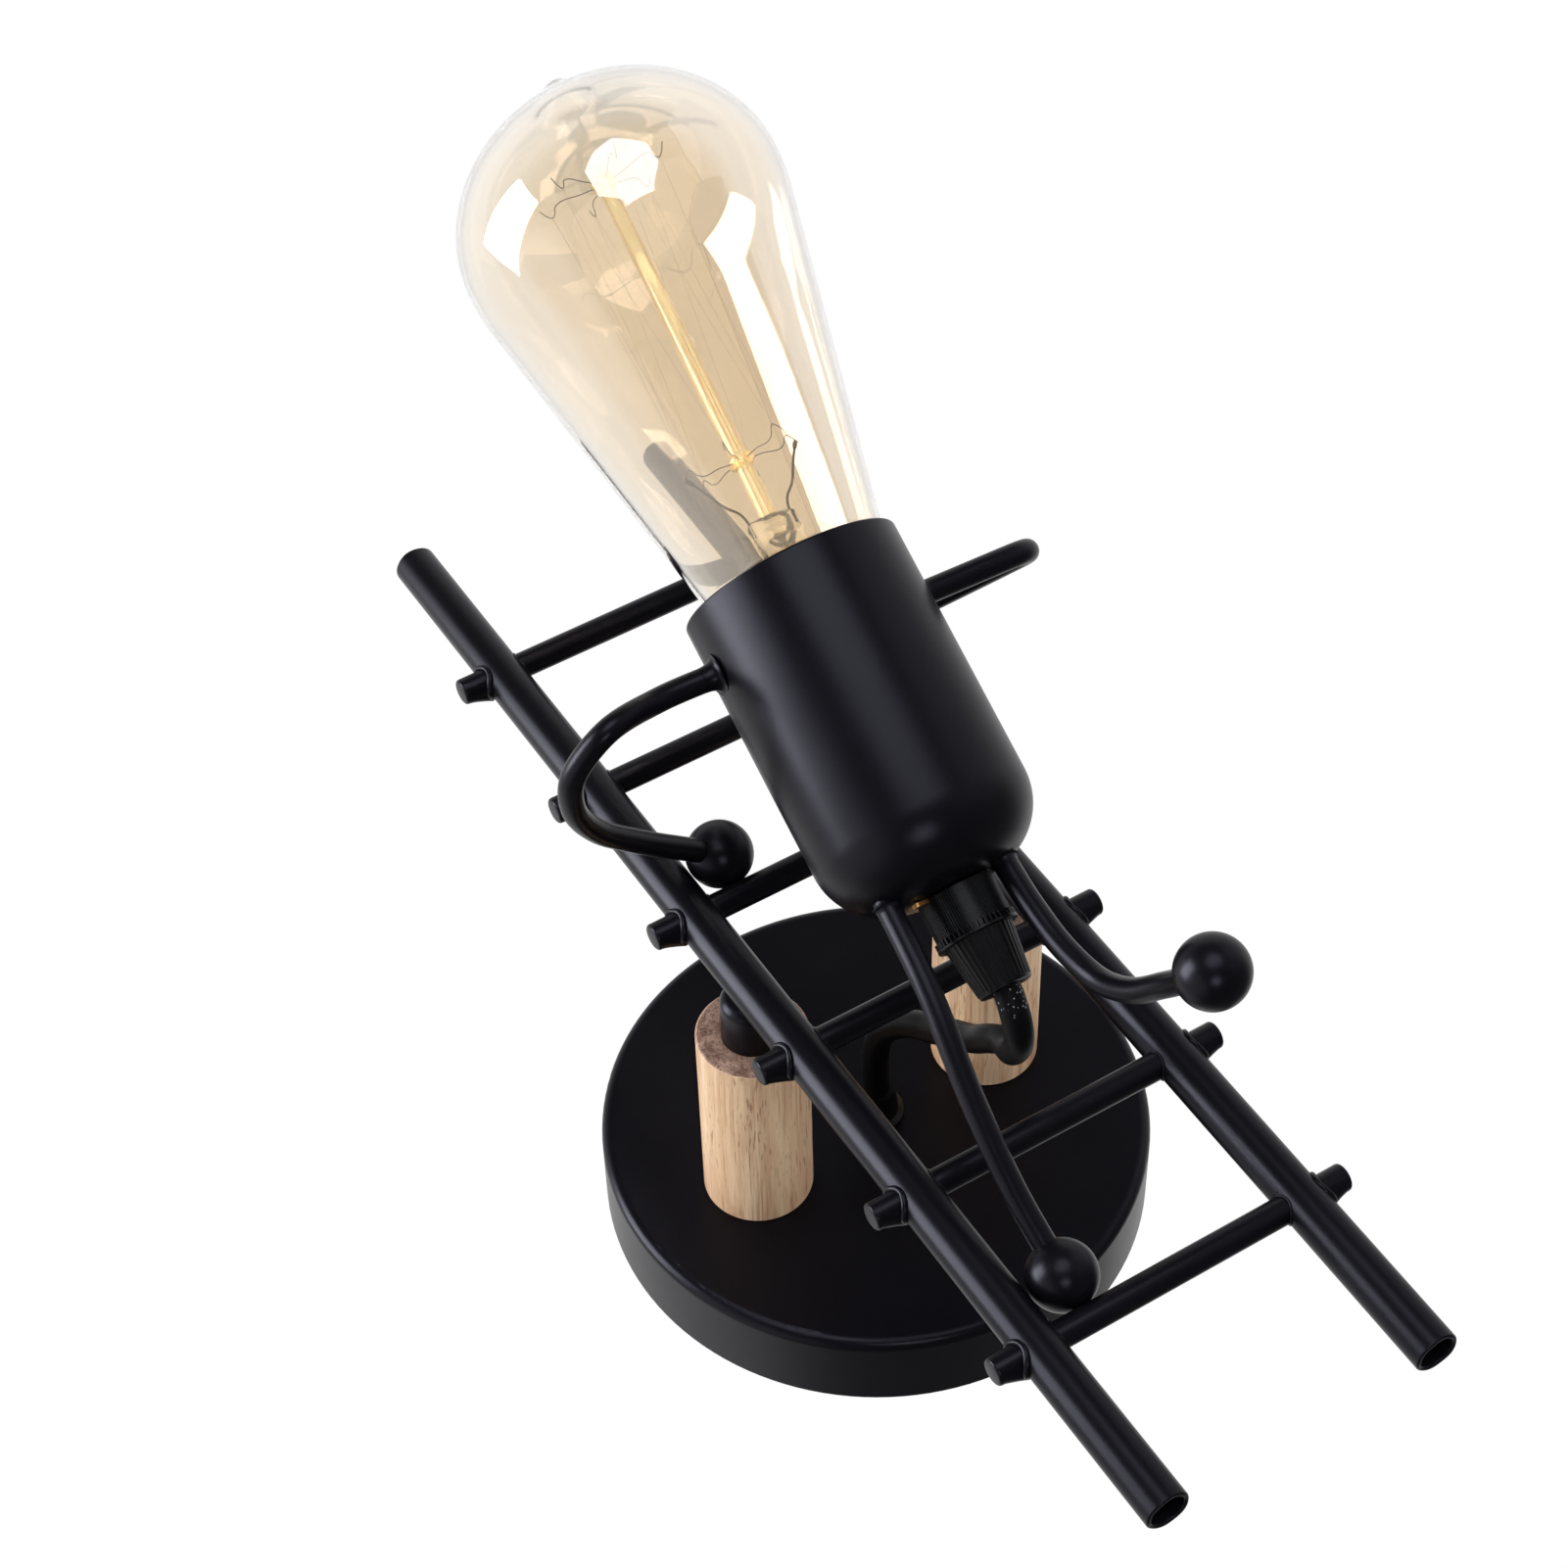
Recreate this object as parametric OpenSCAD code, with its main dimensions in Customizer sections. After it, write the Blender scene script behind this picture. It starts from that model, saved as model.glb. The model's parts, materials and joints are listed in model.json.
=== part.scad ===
// Wall lamp: a figure with a bulb for a head climbs a ladder that stands off a round base.
// The wall is the plane y = 0, the room lies towards -Y, and +Z runs up the wall.
// The origin is the centre of the base's back face. Sizes are in millimetres.

/* [Base] */
// Outside diameter of the round cover
base_d = 112; // [96:1:140]
// Depth of the cover from the wall to its front face
base_depth = 18.5; // [16:0.5:26]
// Sheet thickness of the cover
base_wall = 1.2; // [0.8:0.1:2]
// Radius of the cover's rolled front edge
base_edge = 2.2; // [2:0.1:4]
// Width of the wall strap
strap_w = 20; // [16:1:26]
// Sheet thickness of the wall strap
strap_t = 2; // [1.5:0.5:3]
// Height of the strap's ears from the wall
ear_h = 13; // [12:0.5:14]
// Distance between the two wall screw holes
wall_screw_pitch = 60; // [54:1:70]
// Diameter of a wall screw hole
wall_screw_hole = 5.2; // [4.2:0.1:6]
// Distance from the wall to the rim screws
rim_screw_y = 9; // [8:0.5:10]

/* [Posts] */
// Diameter of a wooden post
post_d = 22; // [18:0.5:26]
// Length of a wooden post
post_len = 47.5; // [35:0.5:60]
// Distance between the two posts, and between the two rails
post_spacing = 57; // [50:1:64]
// Angle by which the line of the posts is turned on the base
post_turn = 3.4; // [0:0.1:5]
// Height of the posts' midpoint above the base's centre
post_rise = 1; // [0:0.5:3]
// Diameter of a post's steel core
core_d = 12; // [10:0.5:14]
// Free length of the core between the wood and the rail
core_free = 9.9; // [6:0.1:14]

/* [Ladder] */
// Outside diameter of a rail
rail_d = 8.8; // [7.4:0.1:10]
// Wall thickness of a rail
rail_wall = 1; // [0.8:0.1:1.4]
// Length of a rail
rail_len = 268; // [240:1:300]
// Diameter of a rung
rung_d = 5.4; // [4.6:0.1:6]
// Distance from rung to rung
rung_pitch = 38.3; // [36:0.1:42]
// Length of rung that stands out past each rail
nub_len = 5.2; // [3:0.1:8]

/* [Figure] */
// Height of the cup's closed end above the base's centre
cup_rise = -25; // [-30:0.2:-22]
// Distance from the ladder's plane to the cup's closed end
cup_out = 33.5; // [31:0.5:40]
// Sideways place of the cup's closed end
cup_x = 0.8; // [-2:0.1:2]
// Angle by which the figure leans out from the wall
lean = 26.9; // [24:0.1:30]
// Angle by which the figure leans to its right
side_lean = 1.9; // [0:0.1:4]
// Outside diameter of the cup
cup_d = 42.9; // [41.5:0.1:45]
// Length of the cup
cup_len = 65.1; // [62:0.1:70]
// Wall thickness of the cup
cup_wall = 1.2; // [0.8:0.1:1.5]
// Radius of the rounded edge at the cup's closed end
cup_corner = 13.5; // [8:0.5:15]
// Diameter of the rods of the limbs
rod_d = 4.7; // [4:0.1:5.2]
// Diameter of the balls that are hands and feet
ball_d = 13.4; // [12.6:0.1:14.4]
// Height of the left shoulder on the cup
left_shoulder = 53.5; // [48:0.5:56]
// Height of the right shoulder on the cup
right_shoulder = 52.5; // [46:0.1:54]
// Distance from the cup's axis to the right elbow's corner
right_reach = 51.4; // [46:0.2:53]
// Radius of the right elbow's bend
elbow_r = 6; // [5:0.5:8]

/* [Lampholder] */
// Diameter of the ribbed cap under the cup
grip_d = 14.9; // [13:0.1:17]
// Length of the ribbed cap
grip_cap_len = 6.6; // [5:0.1:8]
// Diameter of the toothed ring
grip_ring_d = 16; // [15.2:0.1:18]
// Thickness of the toothed ring
grip_ring_t = 1.9; // [1:0.1:3]
// Length of the tapered sleeve
sleeve_len = 10.7; // [9:0.1:14]
// Diameter of the sleeve's end
sleeve_end_d = 10.3; // [9:0.1:12]
// Thickness of the brass washer
washer_t = 1.2; // [0.8:0.1:2]
// Diameter of the brass washer
washer_d = 17.5; // [15:0.1:18]
// Outside diameter of the threaded nipple
nipple_d = 9.8; // [9:0.1:10]
// Outside diameter of the holder inside the cup
holder_d = 33; // [32:0.5:36]
// Angle by which the holder sits tilted in the cup
holder_tilt = 1.75; // [0:0.05:2]
// Angle by which the holder sits back towards the wall
holder_back = 0.75; // [0:0.05:1]

/* [Bulb] */
// Largest diameter of the glass
bulb_d = 64.4; // [58:0.1:68]
// Length of the bulb with its cap
bulb_len = 141; // [136:0.5:146]
// Height of the bulb's tip above the cup's closed end
tip_s = 30.5; // [30:0.1:32]
// Diameter of the glass where it passes the cup's rim
bulb_neck_d = 35.2; // [30:0.1:36.4]
// Thickness of the glass
glass_t = 0.9; // [0.7:0.1:1.2]
// Pitch of the cap's thread
thread_pitch = 3.62; // [3.4:0.01:3.8]
// Middle diameter of the cap's thread
thread_d = 25.2; // [24.8:0.05:25.4]
// Depth of the thread to each side of its middle
thread_depth = 0.45; // [0.3:0.05:0.5]

/* [Cord] */
// Diameter of the cable
cord_d = 5.6; // [5:0.1:6.4]
// Length of the grip on the base that the cable enters
base_grip_len = 9; // [7:0.5:12]

/* [Hidden] */
$fn = 64;

// Clearances
weld_gap = 0.05;
fit_gap = 0.1;
free_gap = 0.3;
thread_gap = 0.4;
cut = 1;

// Finishes
black = "#1c1c20";
dark = "#26262a";
steel = "#9c9da0";
zinc = "#b9bbc0";
wood = "#dcb888";
brass = "#c79a4b";
amber = "#d98a2b";
clear = "#e8e2d0";
porcelain = "#e9e6dd";

// Vector helpers
function unit(v) = v / norm(v);
function turn_x(v, a) = [v[0], v[1] * cos(a) - v[2] * sin(a), v[1] * sin(a) + v[2] * cos(a)];
function turn_y(v, a) = [v[0] * cos(a) + v[2] * sin(a), v[1], -v[0] * sin(a) + v[2] * cos(a)];

// Round bend of radius r at the corner c of the straight lines a to c and c to b
function bend(a, c, b, r) = let (u = unit(a - c), v = unit(b - c), half = acos(u * v) / 2,
    m = unit(u + v), w = unit(v - u), centre = c + m * r / sin(half), stops = 4)
    [for (k = [0:stops]) let (t = (90 - half) * (2 * k / stops - 1)) centre + r * (sin(t) * w - cos(t) * m)];

// Smooth curve through points: a cubic in each span, with the slope of the quadratic
// through the three nearest points at each point
function span(p, i) = norm(p[i + 1] - p[i]);
function slope(p, i) =
    i == 0 ? unit(p[1] - p[0])
    : i == len(p) - 1 ? unit(p[i] - p[i - 1])
    : ((p[i + 1] - p[i]) / span(p, i) * span(p, i - 1)
       + (p[i] - p[i - 1]) / span(p, i - 1) * span(p, i)) / (span(p, i) + span(p, i - 1));
function cubic(a, b, ta, tb, d, t) =
    (2 * pow(t, 3) - 3 * pow(t, 2) + 1) * a + (pow(t, 3) - 2 * pow(t, 2) + t) * d * ta
    + (3 * pow(t, 2) - 2 * pow(t, 3)) * b + (pow(t, 3) - pow(t, 2)) * d * tb;
function steps(p, i, ring) = max(1, ceil(span(p, i) / ring));
function curve(p, ring) = [
    for (i = [0:len(p) - 2]) let (n = steps(p, i, ring), last = i == len(p) - 2 ? n : n - 1)
        for (k = [0:last]) cubic(p[i], p[i + 1], slope(p, i), slope(p, i + 1), span(p, i), k / n)];
function heading(c, i) =
    i == 0 ? unit(c[1] - c[0]) : i == len(c) - 1 ? unit(c[i] - c[i - 1]) : unit(c[i + 1] - c[i - 1]);

// Closed skin over rings of points, which run anticlockwise round the way from ring to ring
module closed_skin(points, sides) {
    n = len(points) / sides;
    walls = [for (i = [0:n - 2]) for (k = [0:sides - 1]) let (a = i * sides + k,
        b = i * sides + (k + 1) % sides) each [[a, a + sides, b + sides], [a, b + sides, b]]];
    start = [for (k = [0:sides - 1]) k];
    finish = [for (k = [sides - 1:-1:0]) (n - 1) * sides + k];
    polyhedron(points, concat(walls, [start, finish]), convexity = 6);
}

// Round rod along a route; up is never along the route
module rod(route, d, sides, ring, up) {
    c = curve(route, ring);
    n = len(c);
    skin = [for (i = [0:n - 1]) let (t = heading(c, i), u = unit(cross(t, up)), v = cross(t, u))
        for (k = [0:sides - 1]) c[i] + d / 2 * (cos(360 * k / sides) * u + sin(360 * k / sides) * v)];
    closed_skin(skin, sides);
}

// Solid turned to lie along a direction, from a point
module along(point, direction) {
    d = unit(direction);
    translate(point) rotate([0, acos(d[2]), atan2(d[1], d[0])]) children();
}

// Turned to stand out from the wall: its height is the distance from the wall
module from_wall(distance) {
    translate([0, -distance, 0]) rotate([90, 0, 0]) children();
}

// Half outline of a disc with a round outer edge at its top
module disc_outline(r, h, edge) {
    square([r - edge, h]);
    square([r, h - edge]);
    translate([r - edge, h - edge]) circle(edge);
}

// Places worked out from the sizes
cover_in_r = base_d / 2 - base_wall;
ear_out = sqrt(pow(cover_in_r, 2) - pow(strap_w / 2, 2)) - free_gap;
screw_d = 4;
screw_hole = screw_d + 0.4;
head_d = 7.4;
head_h = 2.2;
wire_hole_d = 12;
earth_z = -17;
base_stem_d = 9.8;
base_nut_t = 2.5;
base_nut_d = base_stem_d + 5;
base_stem_len = base_wall + base_nut_t + 1.5;
grip_flange_d = base_stem_d + 1.8;
wire_d = 1.6;
block = [18, 9, 11];
block_z = 10;
block_bore = 3.2;
terminals = [0.27, 0.73];
washer = [9, 0.8];
post_screw_grip = 10;
tap_depth = 14;
core_bite = 1.6;
core_edge = 2.4;
chamfer = 0.4;
rail_out = base_depth + post_len + core_free + rail_d / 2;
rung_len = post_spacing + rail_d + 2 * nub_len;
function rung_z(i) = (3.5 - i) * rung_pitch;
function post_x(side) = side * post_spacing / 2 * cos(post_turn);
function post_z(side) = side * post_spacing / 2 * sin(post_turn) + post_rise;
cup_r = cup_d / 2;
cup_end = [cup_x, -rail_out - cup_out, cup_rise];
function in_torso(p) = cup_end + turn_x(turn_y(p, side_lean), lean);
function cup_end_z(r) = cup_corner - sqrt(pow(cup_corner, 2) - pow(max(0, r - cup_r + cup_corner), 2));
nipple_hole_r = nipple_d / 2 + 0.2;
seat_s = cup_wall + fit_gap;
grip_top = -washer_t;
ring_top = grip_top - grip_cap_len;
sleeve_top = ring_top - grip_ring_t;
sleeve_end = sleeve_top - sleeve_len;
cord_seat = 4;
bite = 0.2;
limb_sides = 12;
limb_ring = 2.6;
wire_sides = 8;
wire_ring = 3;
cord_sides = 12;
cord_ring = 5;

// A hand or foot rests on a rung at an angle from straight above it, towards the room
function on_rung(x, i, angle) = let (r = rung_d / 2 + ball_d / 2 - bite)
    [x, -rail_out - r * sin(angle), rung_z(i) + r * cos(angle)];
grip_x = post_spacing / 2 - rail_d / 2 - ball_d / 2 + 0.5;
left_hand_at = on_rung(-grip_x, 3, 23);
right_hand_at = on_rung(grip_x, 2, 90);
left_foot_at = on_rung(-grip_x + 0.7, 6, 11);
function by_cup(p) = cup_end + p;
right_foot_at = by_cup([10.2, -32.3, -60.3]);

// Limb routes: each starts inside the cup's wall and ends in its ball
shoulder_in = cup_r - 1.5;
left_arm_route = [in_torso([-shoulder_in, 0, left_shoulder]), in_torso([-cup_r - 12, 0.5, left_shoulder]),
    by_cup([-43.9, -25.4, 46.2]), by_cup([-50.7, -16.3, 47.4]), by_cup([-50.7, -7.1, 48.6]),
    by_cup([-45.5, 4.1, 50.2]), by_cup([-38.5, 12.1, 51.4]), left_hand_at];
right_arm_route = concat(
    [in_torso([shoulder_in, 0, right_shoulder]), in_torso([cup_r + 8, 0, right_shoulder])],
    bend(in_torso([shoulder_in, 0, right_shoulder]), in_torso([right_reach, 0, right_shoulder]),
         right_hand_at, elbow_r), [right_hand_at]);
left_hip = [-cup_r * 0.65, -cup_r * 0.14];
right_hip = [cup_r * 0.42, -cup_r * 0.23];
function hip(p) = in_torso([p[0], p[1], cup_end_z(norm(p)) + 1]);
left_leg_route = [hip(left_hip), by_cup([-15.9, 1.8, -15.7]), by_cup([-18.2, 12.5, -33.3]),
    by_cup([-18.8, 22.7, -48.1]), left_foot_at];
right_leg_route = [hip(right_hip), by_cup([8.1, -2.8, -13]), by_cup([8, -1.5, -23]),
    by_cup([8.8, -1.9, -32.4]), by_cup([9.7, -7.2, -40.9]), by_cup([11.2, -14.3, -47.2]), right_foot_at];

// Cable route: out of the sleeve, down, round to the wall and up into the base's middle
cord_route = [in_torso([0, 0, sleeve_end + cord_seat]), in_torso([0, 0, sleeve_end]),
    [-0.1, -102.2, -45.7], [-0.1, -97, -47.8], [1.2, -87.1, -44.4], [3.3, -81.5, -37.7],
    [3, -78.2, -34.1], [3.1, -73.3, -29.8], [2.3, -67.4, -22], [1.6, -63.8, -17.2],
    [0.9, -61.4, -13.3], [-1, -54.4, -6.4], [-1.2, -46.4, -2.9], [-1, -41.9, -1.9],
    [0, -base_depth - base_grip_len, 0], [0, -base_depth - base_grip_len + cord_seat, 0]];

// Frames of the figure and of the tilted holder: heights count from the cup's closed end
module torso() {
    translate(cup_end) rotate([lean, 0, 0]) rotate([0, side_lean, 0]) children();
}
module holder() {
    torso() translate([0, 0, seat_s]) rotate([-holder_back, 0, 0]) rotate([0, holder_tilt, 0])
        translate([0, 0, -seat_s]) children();
}
module at_bulb() {
    holder() translate([0, 0, tip_s]) children();
}
module at_post(side) {
    translate([post_x(side), 0, post_z(side)]) children();
}

// Base
module base_cover() color(black) difference() {
    from_wall(0) rotate_extrude($fn = 128) difference() {
        disc_outline(base_d / 2, base_depth, base_edge);
        translate([0, -cut]) disc_outline(cover_in_r, base_depth - base_wall + cut, base_edge - base_wall);
    }
    for (side = [-1, 1]) at_post(side) from_wall(base_depth - base_wall - cut)
        cylinder(d = screw_hole, h = base_wall + 2 * cut);
    from_wall(base_depth - base_wall - cut) cylinder(d = base_stem_d + 2 * fit_gap, h = base_wall + 2 * cut);
    for (side = [-1, 1]) translate([0, -rim_screw_y, side * (cover_in_r - cut)])
        rotate([side < 0 ? 180 : 0, 0, 0]) cylinder(d = screw_hole, h = base_wall + 2 * cut);
}
module wall_bracket() color(zinc) difference() {
    union() {
        translate([-strap_w / 2, -strap_t, -ear_out]) cube([strap_w, strap_t, 2 * ear_out]);
        for (side = [-1, 1]) translate([-strap_w / 2, -ear_h, side > 0 ? ear_out - strap_t : -ear_out])
            cube([strap_w, ear_h, strap_t]);
    }
    for (side = [-1, 1]) translate([0, 0, side * wall_screw_pitch / 2]) from_wall(-cut)
        cylinder(d = wall_screw_hole, h = strap_t + 2 * cut);
    from_wall(-cut) cylinder(d = wire_hole_d, h = strap_t + 2 * cut);
    translate([0, 0, earth_z]) from_wall(-cut) cylinder(d = screw_d + fit_gap, h = strap_t + 2 * cut);
    translate([0, -rim_screw_y, -ear_out - cut]) cylinder(d = screw_d + fit_gap, h = 2 * ear_out + 2 * cut);
}

// Screw with a low round head: the head stands on z = 0 and the shank points down
module screw(shank) {
    translate([0, 0, -shank]) cylinder(d = screw_d, h = shank + 0.1, $fn = 32);
    rotate_extrude($fn = 48) disc_outline(head_d / 2, head_h, head_h * 0.45);
}
module side_screws() color(black) for (side = [-1, 1])
    translate([0, -rim_screw_y, side * (base_d / 2 + weld_gap)]) rotate([side < 0 ? 180 : 0, 0, 0])
        screw(base_d / 2 - ear_out + strap_t + 2);
module cord_grip() color(dark) from_wall(base_depth) difference() {
    rotate_extrude() polygon([[0, -base_stem_len], [base_stem_d / 2, -base_stem_len], [base_stem_d / 2, 0],
        [grip_flange_d / 2, 0], [grip_flange_d / 2, 1.6], [cord_d / 2 + 1.9, 2.2],
        [cord_d / 2 + 1.1, base_grip_len], [0, base_grip_len]]);
    translate([0, 0, base_grip_len - cord_seat]) cylinder(d = cord_d + 2 * fit_gap, h = cord_seat + cut);
    translate([0, 0, -base_stem_len - cut]) cylinder(d = cord_d + 0.4, h = base_stem_len + 1.5 + cut);
}
module cord_grip_nut() color(dark) from_wall(base_depth - base_wall - base_nut_t - weld_gap) difference() {
    cylinder(d = base_nut_d, h = base_nut_t, $fn = 6);
    translate([0, 0, -cut]) cylinder(d = base_stem_d + 2 * weld_gap, h = base_nut_t + 2 * cut);
}
module terminal_block() color(porcelain)
    translate([-block[0] / 2, -strap_t - block[1], block_z]) difference() {
    cube(block);
    for (k = terminals) translate([block[0] * k, block[1] / 2, -cut])
        cylinder(d = block_bore, h = block[2] + 2 * cut, $fn = 32);
    for (k = terminals) translate([block[0] * k, -cut, block[2] / 2]) rotate([-90, 0, 0])
        cylinder(d = block_bore + 0.4, h = block[1] / 2 + cut, $fn = 32);
}
module earth_screw() color(brass) translate([0, 0, earth_z]) from_wall(strap_t + 1.9) screw(strap_t + 1.9);

// Thin insulated wire between two points, bowed through others
module wire(route, d, tint) {
    color(tint) rod(route, d, wire_sides, wire_ring, [1, 0.02, 0.01]);
}
stem_y = -base_depth + base_stem_len;
module earth_wire() wire([[0, stem_y - 1, -1.2], [0, stem_y + 2.2, -3], [0, -6.5, -9],
    [0, -strap_t - 1.1, earth_z + head_d / 2 + 0.4],
    [0, -strap_t - 1.1, earth_z + screw_d / 2 + 0.2]], wire_d, "green");
module core_wire(side, tint) wire([[side * 1.4, stem_y - 1, 0.6], [side * 1.8, stem_y + 2, 1.8],
    [side * 3.4, -8, 6], [side * block[0] * (0.5 - terminals[0]), -strap_t - block[1] / 2, block_z - 1],
    [side * block[0] * (0.5 - terminals[0]), -strap_t - block[1] / 2, block_z + 4]], wire_d, tint);
module live_wire() core_wire(-1, "brown");
module neutral_wire() core_wire(1, "royalblue");

// Posts
module post_washers() color(zinc) for (side = [-1, 1])
    at_post(side) from_wall(base_depth - base_wall - washer[1] - weld_gap) difference() {
        cylinder(d = washer[0], h = washer[1]);
        translate([0, 0, -cut]) cylinder(d = screw_hole, h = washer[1] + 2 * cut);
    }
module post_screws() color(zinc) for (side = [-1, 1])
    at_post(side) from_wall(base_depth - base_wall - washer[1] - 2 * weld_gap) mirror([0, 0, 1])
        screw(base_wall + washer[1] + post_screw_grip);
module post_wood(side) color(wood) at_post(side) from_wall(base_depth) difference() {
    rotate_extrude($fn = 96) polygon([[0, 0], [post_d / 2 - chamfer, 0], [post_d / 2, chamfer],
        [post_d / 2, post_len - chamfer], [post_d / 2 - chamfer, post_len], [0, post_len]]);
    translate([0, 0, -cut]) cylinder(d = core_d + 2 * weld_gap, h = post_len + 2 * cut);
}
module post_core(side) color(black) difference() {
    at_post(side) from_wall(base_depth) difference() {
        rotate_extrude() disc_outline(core_d / 2, post_len + core_free + core_bite, core_edge);
        translate([0, 0, -cut]) cylinder(d = screw_d + 2 * weld_gap, h = tap_depth + cut);
    }
    rail_space(side);
}

// Ladder
module rail_space(side) {
    translate([side * post_spacing / 2, -rail_out, -rail_len / 2 - cut])
        cylinder(d = rail_d + 2 * weld_gap, h = rail_len + 2 * cut);
}
module rung_space(gap) {
    for (i = [1:6]) translate([-rung_len / 2 - cut, -rail_out, rung_z(i)]) rotate([0, 90, 0])
        cylinder(d = rung_d + 2 * gap, h = rung_len + 2 * cut);
}
module rail(side) color(black) difference() {
    translate([side * post_spacing / 2, -rail_out, -rail_len / 2]) difference() {
        cylinder(d = rail_d, h = rail_len);
        translate([0, 0, -cut]) cylinder(d = rail_d - 2 * rail_wall, h = rail_len + 2 * cut);
    }
    rung_space(weld_gap);
}
module rung(i) color(black) translate([-rung_len / 2, -rail_out, rung_z(i)]) rotate([0, 90, 0])
    rotate_extrude($fn = 48) polygon([[0, 0], [rung_d / 2 - chamfer, 0], [rung_d / 2, chamfer],
        [rung_d / 2, rung_len - chamfer], [rung_d / 2 - chamfer, rung_len], [0, rung_len]]);
weld_w = 0.5;
weld_out = rail_d / 2 + 0.5;
weld_in = rail_d / 2 - 1.9;
module rung_welds() color(black) difference() {
    for (i = [1:6], side = [-1, 1], face = [-1, 1])
        translate([side * post_spacing / 2, -rail_out, rung_z(i)]) rotate([0, face * 90, 0])
            translate([0, 0, weld_in]) cylinder(d = rung_d + 2 * weld_w, h = weld_out - weld_in, $fn = 48);
    rung_space(weld_gap);
    for (side = [-1, 1]) rail_space(side);
}

// Torso cup
module cup_outline(r, corner, top) {
    intersection() {
        union() {
            translate([0, corner]) square([r, top - corner]);
            square([max(0.1, r - corner), corner]);
            translate([r - corner, corner]) circle(corner, $fn = 128);
        }
        square([r, top]);
    }
}
module cup_space(gap) {
    torso() translate([0, 0, -gap]) rotate_extrude()
        cup_outline(cup_r + gap, cup_corner + gap, cup_len + 2 * gap);
}
module socket_housing() color(black) torso() difference() {
    rotate_extrude($fn = 128) difference() {
        union() {
            cup_outline(cup_r, cup_corner, cup_len - cup_wall / 2);
            translate([cup_r - cup_wall / 2, cup_len - cup_wall / 2]) circle(d = cup_wall, $fn = 24);
        }
        translate([0, cup_wall]) cup_outline(cup_r - cup_wall, cup_corner - cup_wall, cup_len);
    }
    translate([0, 0, -cut]) cylinder(r = nipple_hole_r, h = cup_wall + 3 * cut);
}

module washer_space() {
    torso() translate([0, 0, grip_top - cut]) cylinder(d = washer_d + 2 * weld_gap, h = 2 * cut + washer_t);
}

// Limbs
module limb(route, up) color(black) difference() {
    rod(route, rod_d, limb_sides, limb_ring, up);
    cup_space(weld_gap);
    washer_space();
}
module left_arm() limb(cut_end(left_arm_route), [0, 0.2, 1]);
module right_arm() limb(cut_end(right_arm_route), [-0.5, -0.6, 0.7]);
module left_leg() limb(cut_end(left_leg_route), [1, 0.1, 0]);
module right_leg() limb(cut_end(right_leg_route), [1, 0.3, 0.2]);

// A route stops a little inside its ball, on the same line
socket_depth = 3;
function end_of(p) = p[len(p) - 1];
function before_end(p) = p[len(p) - 2];
function ball_stop(p) = end_of(p) - unit(end_of(p) - before_end(p)) * (ball_d / 2 - socket_depth);
function cut_end(p) = [for (i = [0:len(p) - 1]) i < len(p) - 1 ? p[i] : ball_stop(p)];
function end_heading(p) = unit(ball_stop(p) - before_end(p));

// Ball with a socket for its rod and a seat for each rung that it touches
module ball(route) color(black) difference() {
    translate(end_of(route)) sphere(d = ball_d, $fn = 96);
    along(ball_stop(route) - end_heading(route) * ball_d, end_heading(route))
        cylinder(d = rod_d + 2 * fit_gap, h = ball_d + fit_gap, $fn = 48);
    rung_space(weld_gap);
}
module left_hand() ball(left_arm_route);
module right_hand() ball(right_arm_route);
module left_foot() ball(left_leg_route);
module right_foot() ball(right_leg_route);

// Weld beads where the rods leave the cup
arm_bead = [rod_d + 4.4, 3.4];
leg_bead = [rod_d + 2.2, 3.2];
module bead(route, size) {
    along(route[0], route[1] - route[0]) difference() {
        cylinder(d1 = size[0], d2 = rod_d + 1, h = size[1], $fn = 48);
        translate([0, 0, -cut]) cylinder(d = rod_d + 2 * weld_gap, h = size[1] + 2 * cut, $fn = 48);
    }
}
module limb_welds() color(black) difference() {
    union() {
        bead(left_arm_route, arm_bead);
        bead(right_arm_route, arm_bead);
        bead(left_leg_route, leg_bead);
        bead(right_leg_route, leg_bead);
    }
    cup_space(weld_gap);
    washer_space();
}

// Lampholder, outside the cup
module brass_washer() color(brass) torso() translate([0, 0, grip_top]) difference() {
    cylinder(d = washer_d, h = washer_t);
    translate([0, 0, -cut]) cylinder(r = nipple_hole_r, h = washer_t + 2 * cut);
}
module lampholder_grip() color(dark) torso() difference() {
    rotate_extrude() polygon([[0, grip_top], [grip_d / 2, grip_top], [grip_d / 2, ring_top],
        [grip_ring_d / 2, ring_top], [grip_ring_d / 2, sleeve_top], [grip_d / 2 - 0.6, sleeve_top],
        [sleeve_end_d / 2 + 0.3, sleeve_end + 0.8], [sleeve_end_d / 2, sleeve_end], [0, sleeve_end]]);
    translate([0, 0, ring_top]) cylinder(d = nipple_d + 2 * weld_gap, h = grip_cap_len + cut);
    translate([0, 0, sleeve_end - cut]) cylinder(d = cord_d + 2 * fit_gap, h = cord_seat + cut);
    translate([0, 0, sleeve_end + cord_seat + 1])
        cylinder(d = cord_d - 1, h = ring_top - sleeve_end - cord_seat);
}
nipple_top = 8.4;
module nipple_body(gap) {
    translate([0, 0, ring_top + weld_gap]) cylinder(d = nipple_d + 2 * gap, h = nipple_top - ring_top);
}
module lampholder_nipple() color(zinc) torso() difference() {
    nipple_body(0);
    translate([0, 0, ring_top - cut]) cylinder(d = nipple_d - 3, h = nipple_top - ring_top + 3 * cut);
}

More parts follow.
